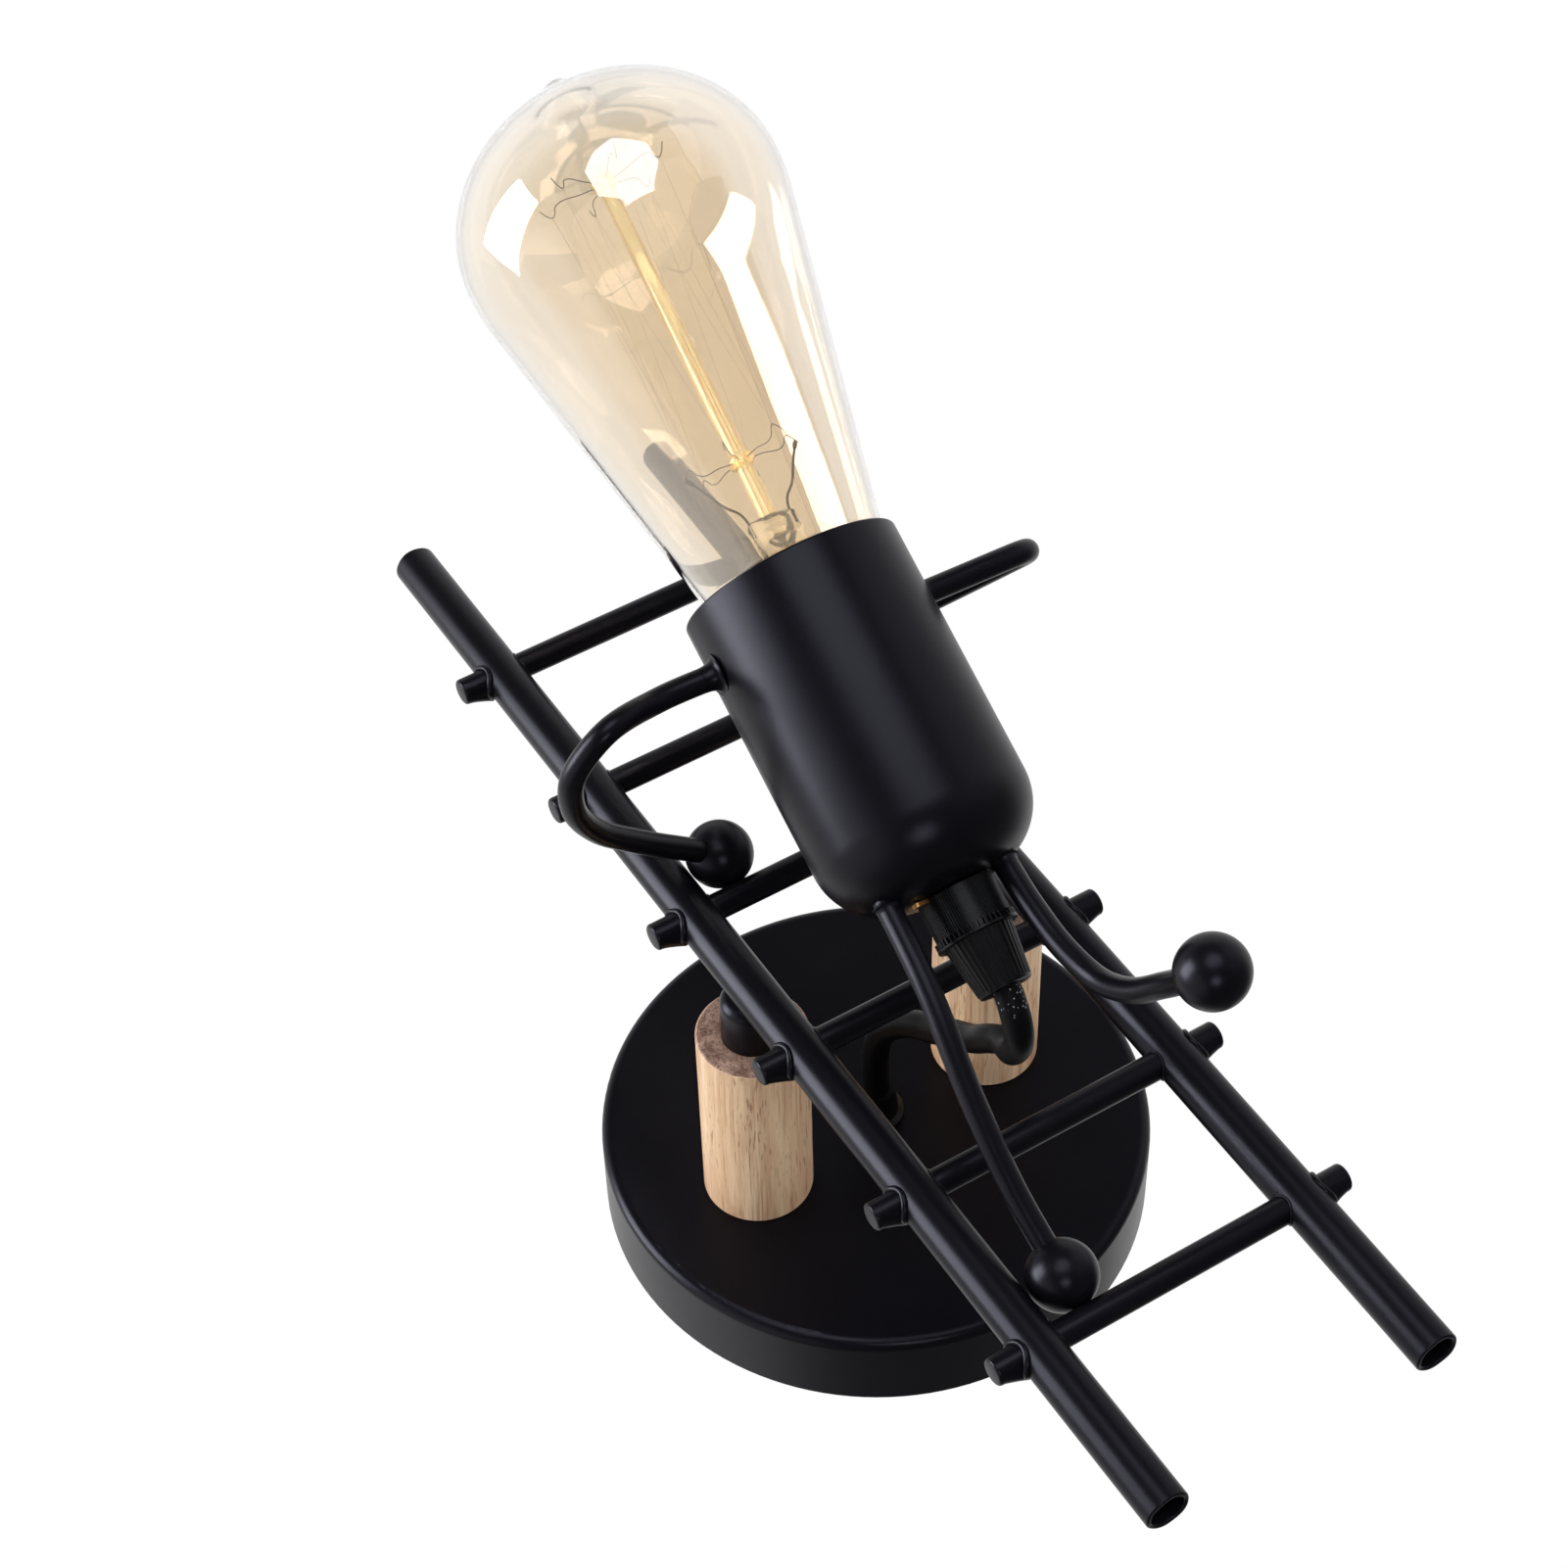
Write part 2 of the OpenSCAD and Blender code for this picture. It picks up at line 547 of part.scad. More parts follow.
// Lampholder, inside the cup
holder_r = holder_d / 2;
holder_t = 1.7;
holder_neck_r = 6.6;
carrier_bottom = tip_s - 13.2;
carrier_top = tip_s - 6.2;
shell_h = 23;
shell_top = tip_s + shell_h;
skirt_top = shell_top + 1.3;
funnel_low = seat_s + 2.4;
funnel_high = seat_s + 10.4;
funnel_floor = seat_s + 6.6;
wall_low = seat_s + 13;
ledge = 1.6;
module holder_base() color(dark) difference() {
    holder() rotate_extrude() polygon([[0, 0], [holder_neck_r, 0], [holder_neck_r, funnel_low],
        [holder_r - 1, funnel_high], [holder_r, wall_low], [holder_r, carrier_top],
        [holder_r - holder_t, carrier_top], [holder_r - holder_t, carrier_bottom],
        [holder_r - holder_t - ledge, carrier_bottom], [holder_r - holder_t - ledge, wall_low],
        [holder_r - holder_t - 1.5 * ledge, funnel_high + holder_t], [nipple_d / 2 + holder_t, funnel_floor],
        [0, funnel_floor]]);
    torso() {
        nipple_body(weld_gap);
        translate([0, 0, cup_wall + weld_gap - holder_r]) cylinder(r = holder_r, h = holder_r);
    }
}
module holder_skirt() color(dark) holder() rotate_extrude() polygon([[holder_r, carrier_top],
    [holder_r, skirt_top - 0.8], [holder_r - 0.8, skirt_top], [shell_in_r + 0.3, skirt_top],
    [shell_in_r + 0.3, shell_top + weld_gap], [shell_out_r + free_gap, shell_top + weld_gap],
    [shell_out_r + free_gap, carrier_top]]);
shell_in_r = thread_d / 2 + thread_depth + thread_gap;
shell_out_r = shell_in_r + 0.55;
terminal_x = 9;
module contact_carrier() color(porcelain) holder() difference() {
    translate([0, 0, carrier_bottom])
        cylinder(r = holder_r - holder_t - fit_gap, h = carrier_top - carrier_bottom);
    for (side = [-1, 1]) translate([side * terminal_x, 0, carrier_bottom - cut])
        cylinder(d = screw_d + 2 * weld_gap, h = 5 + cut, $fn = 32);
}
module contact_screws() color(brass) holder() for (side = [-1, 1])
    translate([side * terminal_x, 0, carrier_bottom - weld_gap]) mirror([0, 0, 1]) screw(4.6);
module holder_wires() for (side = [-1, 1])
    color(side < 0 ? "brown" : "royalblue")
        rod([in_torso([side * 1.3, 0, 2]), in_torso([side * 1.3, 0, nipple_top]),
             in_torso([side * 4, 0, nipple_top + 3.4]),
             in_torso([side * terminal_x + 0.3, -0.2, carrier_bottom - head_h - wire_d * 0.75])],
            wire_d, wire_sides, wire_ring, [0, 1, 0.1]);

// Round-crested right-hand thread: its radius follows a wave that climbs one pitch a turn
thread_sides = 24;
rings_a_turn = 8;
module thread(mid_d, z, h) {
    rings = ceil(h / thread_pitch * rings_a_turn);
    closed_skin([for (i = [0:rings]) let (height = z + h * i / rings) for (k = [0:thread_sides - 1])
        let (a = 360 * k / thread_sides, r = mid_d / 2 + thread_depth * cos(a - 360 * height / thread_pitch))
        [r * cos(a), r * sin(a), height]], thread_sides);
}
module screw_shell() color(brass) at_bulb() difference() {
    translate([0, 0, carrier_top - tip_s]) cylinder(r = shell_out_r, h = shell_top - carrier_top);
    thread(thread_d + 2 * thread_gap, carrier_top - tip_s - 0.5, shell_top - carrier_top + cut);
}
strip_t = 0.6;
module centre_contact() color(brass) at_bulb() {
    translate([-5, -2.5, -free_gap - strip_t]) cube([10, 5, strip_t]);
    translate([-5, -2.5, carrier_top - tip_s]) cube([strip_t, 5, tip_s - carrier_top - free_gap - strip_t]);
    translate([-5, -2.5, carrier_top - tip_s]) cube([7, 5, strip_t]);
}

// Bulb: heights count from its tip along its axis
tip_r = 4.4;
tip_h = 1.8;
cap_in_r = thread_d / 2 - thread_depth - 0.55;
cap_bottom = 6.2;
thread_from = 6.5;
thread_to = shell_h + free_gap;
cap_top = 26;
module bulb_tip_contact() color(steel) at_bulb() rotate_extrude() polygon([[0, 0], [tip_r - 1.3, 0],
    [tip_r - 0.3, 0.5], [tip_r, 1.1], [tip_r, tip_h], [0, tip_h]]);
module bulb_insulator() color("#141418") at_bulb() rotate_extrude() polygon([[0, tip_h + fit_gap],
    [tip_r + 0.6, tip_h + fit_gap], [tip_r + 1.8, tip_h + 0.8], [cap_in_r - 1, cap_bottom - 0.6],
    [cap_in_r - weld_gap, cap_bottom], [cap_in_r - weld_gap, cap_bottom + 1.5], [0, cap_bottom + 1.5]]);
module bulb_cap() color(zinc) at_bulb() difference() {
    union() {
        thread(thread_d, thread_from, thread_to - thread_from);
        translate([0, 0, cap_bottom]) cylinder(d = thread_d - 2 * thread_depth, h = cut);
        translate([0, 0, thread_to - 0.1])
            cylinder(d = thread_d + 2 * thread_depth, h = cap_top - thread_to + 0.1);
    }
    translate([0, 0, cap_bottom - cut]) cylinder(r = cap_in_r, h = cap_top - cap_bottom + 2 * cut);
}

// Outline of the glass: a short flare, a straight cone, a shoulder and an oval dome with a
// small raised tip; inset moves the whole outline inwards
neck_u = cup_len - tip_s + 0.2;
neck_end = cap_top - 6;
cone_slope = 0.2023;
dome_base = bulb_len - 30;
dome_h = 28;
tip_bump = 2;
bump_r = 7;
neck_in_r = cap_in_r - fit_gap;
cone_end = dome_base - 2 * (bulb_d / 2 - bulb_neck_d / 2 - cone_slope * (dome_base - neck_u)) / -cone_slope;
shoulder_k = cone_slope / 2 / max(1, dome_base - cone_end);
function bump(r) = r < bump_r ? tip_bump * (0.5 + 0.5 * cos(180 * r / bump_r)) : 0;
function shoulder(u) = bulb_d / 2 - shoulder_k * pow(dome_base - u, 2);
function glass_outline(inset) = concat(
    [[0, neck_end], [neck_in_r - inset, neck_end], [neck_in_r - inset, cap_top + fit_gap],
     [neck_in_r + 1.2 - inset, cap_top + 1],
     [neck_in_r + 2.5 - inset, cap_top + 2.8], [bulb_neck_d / 2 - 1.9 - inset, neck_u - 2.9],
     [bulb_neck_d / 2 - inset, neck_u]],
    [for (k = [0:5]) let (u = cone_end + (dome_base - cone_end) * k / 6) [shoulder(u) - inset, u]],
    [for (a = [0:5:85]) let (r = (bulb_d / 2 - inset) * cos(a))
        [r, dome_base + (dome_h - inset) * sin(a) + bump(r)]],
    [[0, dome_base + dome_h - inset + tip_bump]]);
module bulb_glass() color(amber, 0.5) at_bulb() rotate_extrude($fn = 96) difference() {
    polygon(glass_outline(0));
    polygon(concat([[0, neck_end - cut], [neck_in_r - glass_t, neck_end - cut]],
        [for (i = [2:len(glass_outline(glass_t)) - 1]) glass_outline(glass_t)[i]]));
}
press_u = 43;
press_top = 47;
stem_r = 4.3;
module glass_stem() color(clear, 0.5) at_bulb() {
    rotate_extrude() polygon([[neck_in_r - glass_t - fit_gap, neck_end + 0.4],
        [neck_in_r - glass_t - fit_gap, neck_end + 1.2],
        [stem_r + 2, cap_top], [stem_r + 0.5, cap_top + 5], [stem_r, cap_top + 10], [stem_r, press_u],
        [0, press_u], [0, press_u - 1], [stem_r - 0.8, press_u - 1], [stem_r - 0.8, cap_top + 10],
        [stem_r - 0.3, cap_top + 5], [stem_r + 1.2, cap_top]]);
    translate([0, 0, press_u - 0.1]) intersection() {
        cylinder(r = stem_r, h = press_top - press_u + 0.1);
        translate([-stem_r, -2, 0]) cube([2 * stem_r, 4, press_top]);
    }
}
low_hub_u = 59;
high_hub_u = 120;
hub_r = 2.7;
rod_r = 1.7;
module support_rod() color(clear, 0.6) at_bulb() translate([0, 0, press_top + weld_gap])
    cylinder(r = rod_r, h = high_hub_u + 2 - press_top, $fn = 32);
hook_count = 6;
low_hook_r = 12.5;
high_hook_r = 14;
hook_rise = 1.6;
module hub(u, reach, phase) {
    difference() {
        union() {
            translate([0, 0, u - 1.3]) cylinder(r = hub_r, h = 2.6, $fn = 32);
            for (k = [0:hook_count - 1]) rotate([0, 0, 360 * k / hook_count + phase])
                along([hub_r - 0.5, 0, u], [reach - hub_r, 0, hook_rise])
                    cylinder(d = 0.5, h = reach - hub_r, $fn = 16);
        }
        cylinder(r = rod_r + weld_gap, h = bulb_len, $fn = 32);
    }
}
high_phase = 180 / hook_count;
module support_hooks() color(steel) at_bulb() {
    hub(low_hub_u, low_hook_r, 0);
    hub(high_hub_u, high_hook_r, high_phase);
}
strand_d = 0.3;
function hook_end(u, reach, angle) = [(reach - 0.6) * cos(angle), (reach - 0.6) * sin(angle), u + hook_rise];
module filament() color("#8a7a66") at_bulb() for (k = [0:hook_count - 1], turn = [-1, 1]) {
    if (k < hook_count - 1 || turn < 0) {
        low = hook_end(low_hub_u, low_hook_r, 360 * k / hook_count + turn);
        high = hook_end(high_hub_u, high_hook_r, 360 * k / hook_count + turn * (high_phase - 1));
        lift = unit(high - low) * 0.5;
        along(low + lift, high - low) cylinder(d = strand_d, h = norm(high - low) - 1, $fn = 12);
    }
}
module lead_wires() color(steel) for (side = [-1, 1]) at_bulb()
    rod([[side * 3.2, 0, press_top + 0.1], [side * 4.6, 0, press_top + 2.5], [side * 8.6, 0, low_hub_u - 6],
         [side * (low_hook_r - 0.4), 0, low_hub_u + 0.6]], 0.6, wire_sides, wire_ring, [0, 1, 0]);

// Cable
module flex_cable() color(black) rod(cord_route, cord_d, cord_sides, cord_ring, [1, 0.05, 0.05]);

base_cover();
wall_bracket();
side_screws();
cord_grip();
cord_grip_nut();
terminal_block();
earth_screw();
earth_wire();
live_wire();
neutral_wire();
post_screws();
post_washers();
post_wood(-1);  // left_post_wood
post_wood(1);  // right_post_wood
post_core(-1);  // left_post_core
post_core(1);  // right_post_core
rail(-1);  // left_rail
rail(1);  // right_rail
rung(1);  // rung_1
rung(2);  // rung_2
rung(3);  // rung_3
rung(4);  // rung_4
rung(5);  // rung_5
rung(6);  // rung_6
rung_welds();
socket_housing();
left_arm();
right_arm();
left_leg();
right_leg();
limb_welds();
left_hand();
right_hand();
left_foot();
right_foot();
brass_washer();
lampholder_grip();
lampholder_nipple();
holder_base();
holder_skirt();
contact_carrier();
screw_shell();
centre_contact();
contact_screws();
holder_wires();
bulb_tip_contact();
bulb_insulator();
bulb_cap();
bulb_glass();
glass_stem();
support_rod();
support_hooks();
filament();
lead_wires();
flex_cable();
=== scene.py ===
"""Looks of the wall lamp: a figure with a bulb for a head climbs a ladder off a round base.

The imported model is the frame. The object's sizes are in millimetres as in the part's source, and
every piece's mesh is scaled to metres when it is made. The camera, the floor and the softboxes are
placed in metres. The wall is the plane y = 0 and +Z runs up it.
"""
import json
import math

import bpy
import bmesh
from mathutils import Matrix, Vector


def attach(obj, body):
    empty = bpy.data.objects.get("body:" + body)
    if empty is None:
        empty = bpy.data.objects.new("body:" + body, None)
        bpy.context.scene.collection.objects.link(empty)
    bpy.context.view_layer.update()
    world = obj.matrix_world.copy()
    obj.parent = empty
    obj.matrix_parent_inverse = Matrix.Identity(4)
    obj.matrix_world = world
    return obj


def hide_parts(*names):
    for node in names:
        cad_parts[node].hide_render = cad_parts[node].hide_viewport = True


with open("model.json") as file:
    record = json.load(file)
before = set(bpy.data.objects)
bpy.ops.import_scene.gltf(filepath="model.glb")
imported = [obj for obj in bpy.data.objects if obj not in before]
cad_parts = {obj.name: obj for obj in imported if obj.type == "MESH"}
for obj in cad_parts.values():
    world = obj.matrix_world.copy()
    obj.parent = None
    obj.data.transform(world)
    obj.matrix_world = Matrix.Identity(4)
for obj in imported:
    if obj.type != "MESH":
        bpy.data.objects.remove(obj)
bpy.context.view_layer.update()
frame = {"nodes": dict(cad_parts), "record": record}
nodes = frame["nodes"]
MM = 0.001
scene = bpy.context.scene
scene.view_settings.view_transform = "Standard"

# Camera: below the lamp and to its left, looking up at it
CAMERA_AT = (-0.23214, -0.59839, -0.36048)
CAMERA_RIGHT = (0.84853, 0.02124, -0.52873)
CAMERA_UP = (0.40609, -0.66674, 0.62494)
CAMERA_BACK = (-0.33925, -0.74499, -0.57437)
CAMERA_LENS = 80.71
SENSOR_WIDTH = 36
NEAR_CLIP = 0.05
camera_data = bpy.data.cameras.new("camera")
camera_data.lens = CAMERA_LENS
camera_data.sensor_width = SENSOR_WIDTH
camera_data.clip_start = NEAR_CLIP
camera = bpy.data.objects.new("camera", camera_data)
camera.matrix_world = Matrix([(*row, at) for *row, at in zip(CAMERA_RIGHT, CAMERA_UP, CAMERA_BACK, CAMERA_AT)]
                             + [(0, 0, 0, 1)])
scene.collection.objects.link(camera)
scene.camera = camera

# Sizes that the part's source also has
BASE_DEPTH = 18.5
BASE_GRIP_LEN = 9
POST_LEN = 47.5
POST_SPACING = 57
CORE_FREE = 9.9
RAIL_D = 8.8
RAIL_WALL = 1
RAIL_LEN = 268
RUNG_D = 5.4
RUNG_PITCH = 38.3
RUNGS = 6
NUB_LEN = 5.2
RAIL_OUT = BASE_DEPTH + POST_LEN + CORE_FREE + RAIL_D / 2
CUP_END = Vector((0.8, -RAIL_OUT - 33.5, -25))
LEAN = 26.9
SIDE_LEAN = 1.9
CUP_R = 42.9 / 2
CUP_LEN = 65.1
CUP_WALL = 1.2
CUP_CORNER = 13.5
ROD_D = 4.7
BALL_D = 13.4
LEFT_SHOULDER = 53.5
RIGHT_SHOULDER = 52.5
RIGHT_REACH = 51.4
ELBOW_R = 6
GRIP_D = 14.9
GRIP_CAP_LEN = 6.6
GRIP_RING_D = 16
GRIP_RING_T = 1.9
SLEEVE_LEN = 10.7
SLEEVE_END_D = 10.3
WASHER_T = 1.2
RING_TOP = -WASHER_T - GRIP_CAP_LEN
SLEEVE_TOP = RING_TOP - GRIP_RING_T
SLEEVE_END = SLEEVE_TOP - SLEEVE_LEN
HOLDER_TILT = 1.75
HOLDER_BACK = 0.75
SEAT_S = 1.3
TIP_S = 30.5
CORD_D = 5.6
CORD_SEAT = 4


# Frames of the figure and of the bulb
def turned(axis, degrees):
    return Matrix.Rotation(math.radians(degrees), 4, axis)


TORSO = Matrix.Translation(CUP_END) @ turned("X", LEAN) @ turned("Y", SIDE_LEAN)
HOLDER = (TORSO @ Matrix.Translation((0, 0, SEAT_S)) @ turned("X", -HOLDER_BACK)
          @ turned("Y", HOLDER_TILT) @ Matrix.Translation((0, 0, -SEAT_S)))
BULB = HOLDER @ Matrix.Translation((0, 0, TIP_S))
UNTURNED = Matrix.Identity(4)


def in_torso(x, y, z):
    return TORSO @ Vector((x, y, z))


def by_cup(x, y, z):
    return CUP_END + Vector((x, y, z))


# Routes: a cubic in each span, with the slope of the quadratic through the three nearest points
def curve(route, spacing):
    points = [Vector(p) for p in route]
    spans = [(b - a).length for a, b in zip(points, points[1:])]
    slopes = [(points[1] - points[0]) / spans[0]]
    for i in range(1, len(points) - 1):
        before = (points[i] - points[i - 1]) / spans[i - 1]
        after = (points[i + 1] - points[i]) / spans[i]
        slopes.append((after * spans[i - 1] + before * spans[i]) / (spans[i - 1] + spans[i]))
    slopes.append((points[-1] - points[-2]) / spans[-1])
    line = []
    for i, span in enumerate(spans):
        count = max(1, math.ceil(span / spacing))
        for k in range(count):
            t = k / count
            line.append((2 * t ** 3 - 3 * t ** 2 + 1) * points[i] + (3 * t ** 2 - 2 * t ** 3) * points[i + 1]
                        + (t ** 3 - 2 * t ** 2 + t) * span * slopes[i] + (t ** 3 - t ** 2) * span * slopes[i + 1])
    return line + [points[-1]]


def bend(start, corner, end, radius, stops=10):
    """Points of the round bend at a corner of two straight lines."""
    u, v = (start - corner).normalized(), (end - corner).normalized()
    half = u.angle(v) / 2
    middle, across = (u + v).normalized(), (v - u).normalized()
    centre = corner + middle * radius / math.sin(half)
    angles = [(math.pi / 2 - half) * (2 * k / stops - 1) for k in range(stops + 1)]
    return [centre + radius * (math.sin(t) * across - math.cos(t) * middle) for t in angles]


def frames_along(line):
    """Each point's direction and two square directions, carried along without a twist."""
    rows = []
    side = None
    for i, p in enumerate(line):
        ahead = (line[min(i + 1, len(line) - 1)] - line[max(i - 1, 0)]).normalized()
        if side is None:
            side = ahead.orthogonal().normalized()
        side = (side - ahead * side.dot(ahead)).normalized()
        rows.append((p, ahead, side, ahead.cross(side)))
    return rows


# Mesh pieces
ON_AXIS = 1e-6
SHARP = 40


def solid(vertices, faces, name="solid"):
    mesh = bpy.data.meshes.new(name)
    mesh.from_pydata([tuple(Vector(v) * MM) for v in vertices], [], faces)
    return mesh


def new_piece(name, vertices, faces, material, body, replaces=(), sharp=SHARP):
    return finish_piece(solid(vertices, faces, name), name, material, body, replaces, sharp)


def finish_piece(mesh, name, material, body, replaces=(), sharp=SHARP):
    work = bmesh.new()
    work.from_mesh(mesh)
    bmesh.ops.recalc_face_normals(work, faces=work.faces)
    work.to_mesh(mesh)
    work.free()
    for polygon in mesh.polygons:
        polygon.use_smooth = True
    if sharp:
        mesh.set_sharp_from_angle(angle=math.radians(sharp))
    mesh.materials.clear()
    mesh.materials.append(material)
    piece = bpy.data.objects.new(name, mesh)
    scene.collection.objects.link(piece)
    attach(piece, body)
    if replaces:
        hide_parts(*replaces)
    return piece


def lathe_mesh(profile, segments, place=UNTURNED):
    """Vertices and faces of a closed outline of (radius, height) turned round the place's Z axis."""
    vertices, rings = [], []
    for r, z in profile:
        if r < ON_AXIS:
            rings.append([len(vertices)] * segments)
            vertices.append(place @ Vector((0, 0, z)))
        else:
            rings.append([len(vertices) + k for k in range(segments)])
            for k in range(segments):
                a = 2 * math.pi * k / segments
                vertices.append(place @ Vector((r * math.cos(a), r * math.sin(a), z)))
    faces = []
    for low, high in zip(rings, rings[1:] + rings[:1]):
        for k in range(segments):
            corners = [low[k], low[(k + 1) % segments], high[(k + 1) % segments], high[k]]
            face = list(dict.fromkeys(corners))
            if len(face) > 2:
                faces.append(face)
    return vertices, faces


def skin(rings, sides, closed=False):
    """Faces between rings of points, one after another; closed joins the last ring to the first."""
    faces = []
    for i in range(rings if closed else rings - 1):
        low, high = i * sides, (i + 1) % rings * sides
        for k in range(sides):
            m = (k + 1) % sides
            faces.append([low + k, low + m, high + m, high + k])
    return faces


def tube_mesh(line, radius, sides):
    """Vertices and faces of a round tube along a line; radius may be a function of the share of its way."""
    vertices = []
    rows = frames_along(line)
    last = len(rows) - 1
    for i, (p, ahead, u, v) in enumerate(rows):
        r = radius(i / last) if callable(radius) else radius
        for k in range(sides):
            a = 2 * math.pi * k / sides
            vertices.append(p + r * (math.cos(a) * u + math.sin(a) * v))
    ends = [list(range(sides)), [last * sides + k for k in range(sides)]]
    return vertices, skin(len(rows), sides) + ends


def prism(low, high):
    """Vertices and faces of a bar between two outlines of as many points."""
    n = len(low)
    faces = [[k, (k + 1) % n, n + (k + 1) % n, n + k] for k in range(n)]
    return low + high, faces + [list(range(n)), list(range(n, 2 * n))]


# Nodes written as sums
class Link:
    """A socket that takes part in sums; each sum adds its Math node to the tree."""

    def __init__(self, tree, socket):
        self.tree = tree
        self.socket = socket

    def math(self, operation, *others):
        return self.tree.node("ShaderNodeMath", {"operation": operation}, dict(enumerate((self,) + others)))

    def __add__(self, other):
        return self.math("ADD", other)

    def __sub__(self, other):
        return self.math("SUBTRACT", other)

    def __rsub__(self, other):
        return self.tree.node("ShaderNodeMath", {"operation": "SUBTRACT"}, {0: other, 1: self})

    def __mul__(self, other):
        return self.math("MULTIPLY", other)

    def __gt__(self, other):
        return self.math("GREATER_THAN", other)

    def __lt__(self, other):
        return self.math("LESS_THAN", other)

    __radd__ = __add__
    __rmul__ = __mul__


class Tree:
    """A node tree that is filled by one method."""

    def __init__(self, tree):
        self.tree = tree
        tree.nodes.clear()

    def node(self, kind, settings=None, inputs=None, output=0):
        made = self.tree.nodes.new(kind)
        for name, value in (settings or {}).items():
            if name == "stops":
                ramp = made.color_ramp
                while len(ramp.elements) < len(value):
                    ramp.elements.new(0.5)
                for element, (at, tone) in zip(ramp.elements, value):
                    element.position = at
                    element.color = (*tone, 1) if isinstance(tone, tuple) else (tone, tone, tone, 1)
            else:
                setattr(made, name, value)
        for name, value in (inputs or {}).items():
            socket = made.inputs[name]
            if isinstance(value, Link):
                self.tree.links.new(value.socket, socket)
            else:
                socket.default_value = value
        return Link(self, made.outputs[output]) if made.outputs else None

    def point(self, stretch=(1, 1, 1), turn=(0, 0, 0)):
        """Object coordinates, stretched so that a pattern's scale can differ along the axes."""
        at = self.node("ShaderNodeTexCoord", output="Object")
        return self.node("ShaderNodeMapping", {}, {"Vector": at, "Rotation": turn, "Scale": stretch})

    def noise(self, at, scale, detail=3, roughness=0.5, distortion=0):
        return self.node("ShaderNodeTexNoise", {}, {"Vector": at, "Scale": scale, "Detail": detail,
                                                    "Roughness": roughness, "Distortion": distortion})

    def ramp(self, value, stops):
        return self.node("ShaderNodeValToRGB", {"stops": stops}, {"Fac": value})

    def between(self, value, low, high):
        """A value's range from low to high stretched over 0 to 1."""
        return self.node("ShaderNodeMapRange", {"clamp": True}, {"Value": value, "From Min": low, "From Max": high})

    def mixed(self, share, a, b):
        """Colour a, and b where share is 1."""
        a, b = [(*colour, 1) if isinstance(colour, tuple) else colour for colour in (a, b)]
        return self.node("ShaderNodeMix", {"data_type": "RGBA"}, {0: share, 6: a, 7: b}, 2)

    def bump(self, height, distance):
        return self.node("ShaderNodeBump", {}, {"Height": height, "Distance": distance, "Strength": 1.0})

    def specks(self, at, scale, share, size):
        """Spots in a few cells of a cell pattern: share of the cells, size in cells."""
        cells = {"Vector": at, "Scale": scale}
        near = self.node("ShaderNodeTexVoronoi", {}, cells)
        chance = self.node("ShaderNodeTexVoronoi", {}, cells, "Color")
        lot = self.node("ShaderNodeSeparateColor", {}, {"Color": chance})
        return (near < size) * (lot < share)


# Geometry Nodes tree that repeats a shape round the Z axis or along a line
RIPPLE_SCALE = 700.0


def make_repeater():
    group = bpy.data.node_groups.new("repeated_round_or_along", "GeometryNodeTree")
    sockets = {"Shape": "Geometry", "Copies": "Int", "Turn per copy": "Float", "Shift per copy": "Vector",
               "Unevenness": "Float", "Finish": "Material"}
    for name, kind in sockets.items():
        group.interface.new_socket(name, in_out="INPUT", socket_type="NodeSocket" + kind)
    group.interface.new_socket("Geometry", in_out="OUTPUT", socket_type="NodeSocketGeometry")
    t = Tree(group)
    given = {name: t.node("NodeGroupInput", output=name) for name in sockets}
    row = t.node("GeometryNodeMeshLine", {"mode": "OFFSET"},
                 {"Count": given["Copies"], "Offset": given["Shift per copy"]})
    angle = t.node("GeometryNodeInputIndex") * given["Turn per copy"]
    rotation = t.node("ShaderNodeCombineXYZ", {}, {"Z": angle})
    copies = t.node("GeometryNodeInstanceOnPoints", {},
                    {"Points": row, "Instance": given["Shape"], "Rotation": rotation})
    real = t.node("GeometryNodeRealizeInstances", {}, {"Geometry": copies})
    ripple = t.node("ShaderNodeTexNoise", {"noise_dimensions": "3D"}, {"Scale": RIPPLE_SCALE, "Detail": 1.0}, "Color")
    centred = t.node("ShaderNodeVectorMath", {"operation": "SUBTRACT"}, {0: ripple, 1: (0.5, 0.5, 0.5)})
    push = t.node("ShaderNodeVectorMath", {"operation": "SCALE"}, {0: centred, "Scale": given["Unevenness"]})
    moved = t.node("GeometryNodeSetPosition", {}, {"Geometry": real, "Offset": push})
    painted = t.node("GeometryNodeSetMaterial", {}, {"Geometry": moved, "Material": given["Finish"]})
    t.node("NodeGroupOutput", {}, {"Geometry": painted})
    return group


repeater = make_repeater()


def placed(mesh, place):
    """The mesh moved by a place in millimetres."""
    move = place.copy()
    move.translation *= MM
    mesh.transform(move)
    return mesh


def repeated(mesh, finish, copies, turn=0.0, shift=(0, 0, 0), uneven=0.0):
    """A plain mesh of the copies that the repeater makes of a shape."""
    carrier = bpy.data.objects.new("carrier", mesh)
    scene.collection.objects.link(carrier)
    modifier = carrier.modifiers.new("repeat", "NODES")
    modifier.node_group = repeater
    values = {"Copies": copies, "Turn per copy": turn, "Shift per copy": [MM * v for v in shift],
              "Unevenness": uneven * MM, "Finish": finish}
    for socket in repeater.interface.items_tree:
        if socket.in_out == "INPUT" and socket.name in values:
            modifier[socket.identifier] = values[socket.name]
    done = bpy.data.meshes.new_from_object(carrier.evaluated_get(bpy.context.evaluated_depsgraph_get()))
    carrier.modifiers.remove(modifier)
    bpy.data.objects.remove(carrier)
    return done


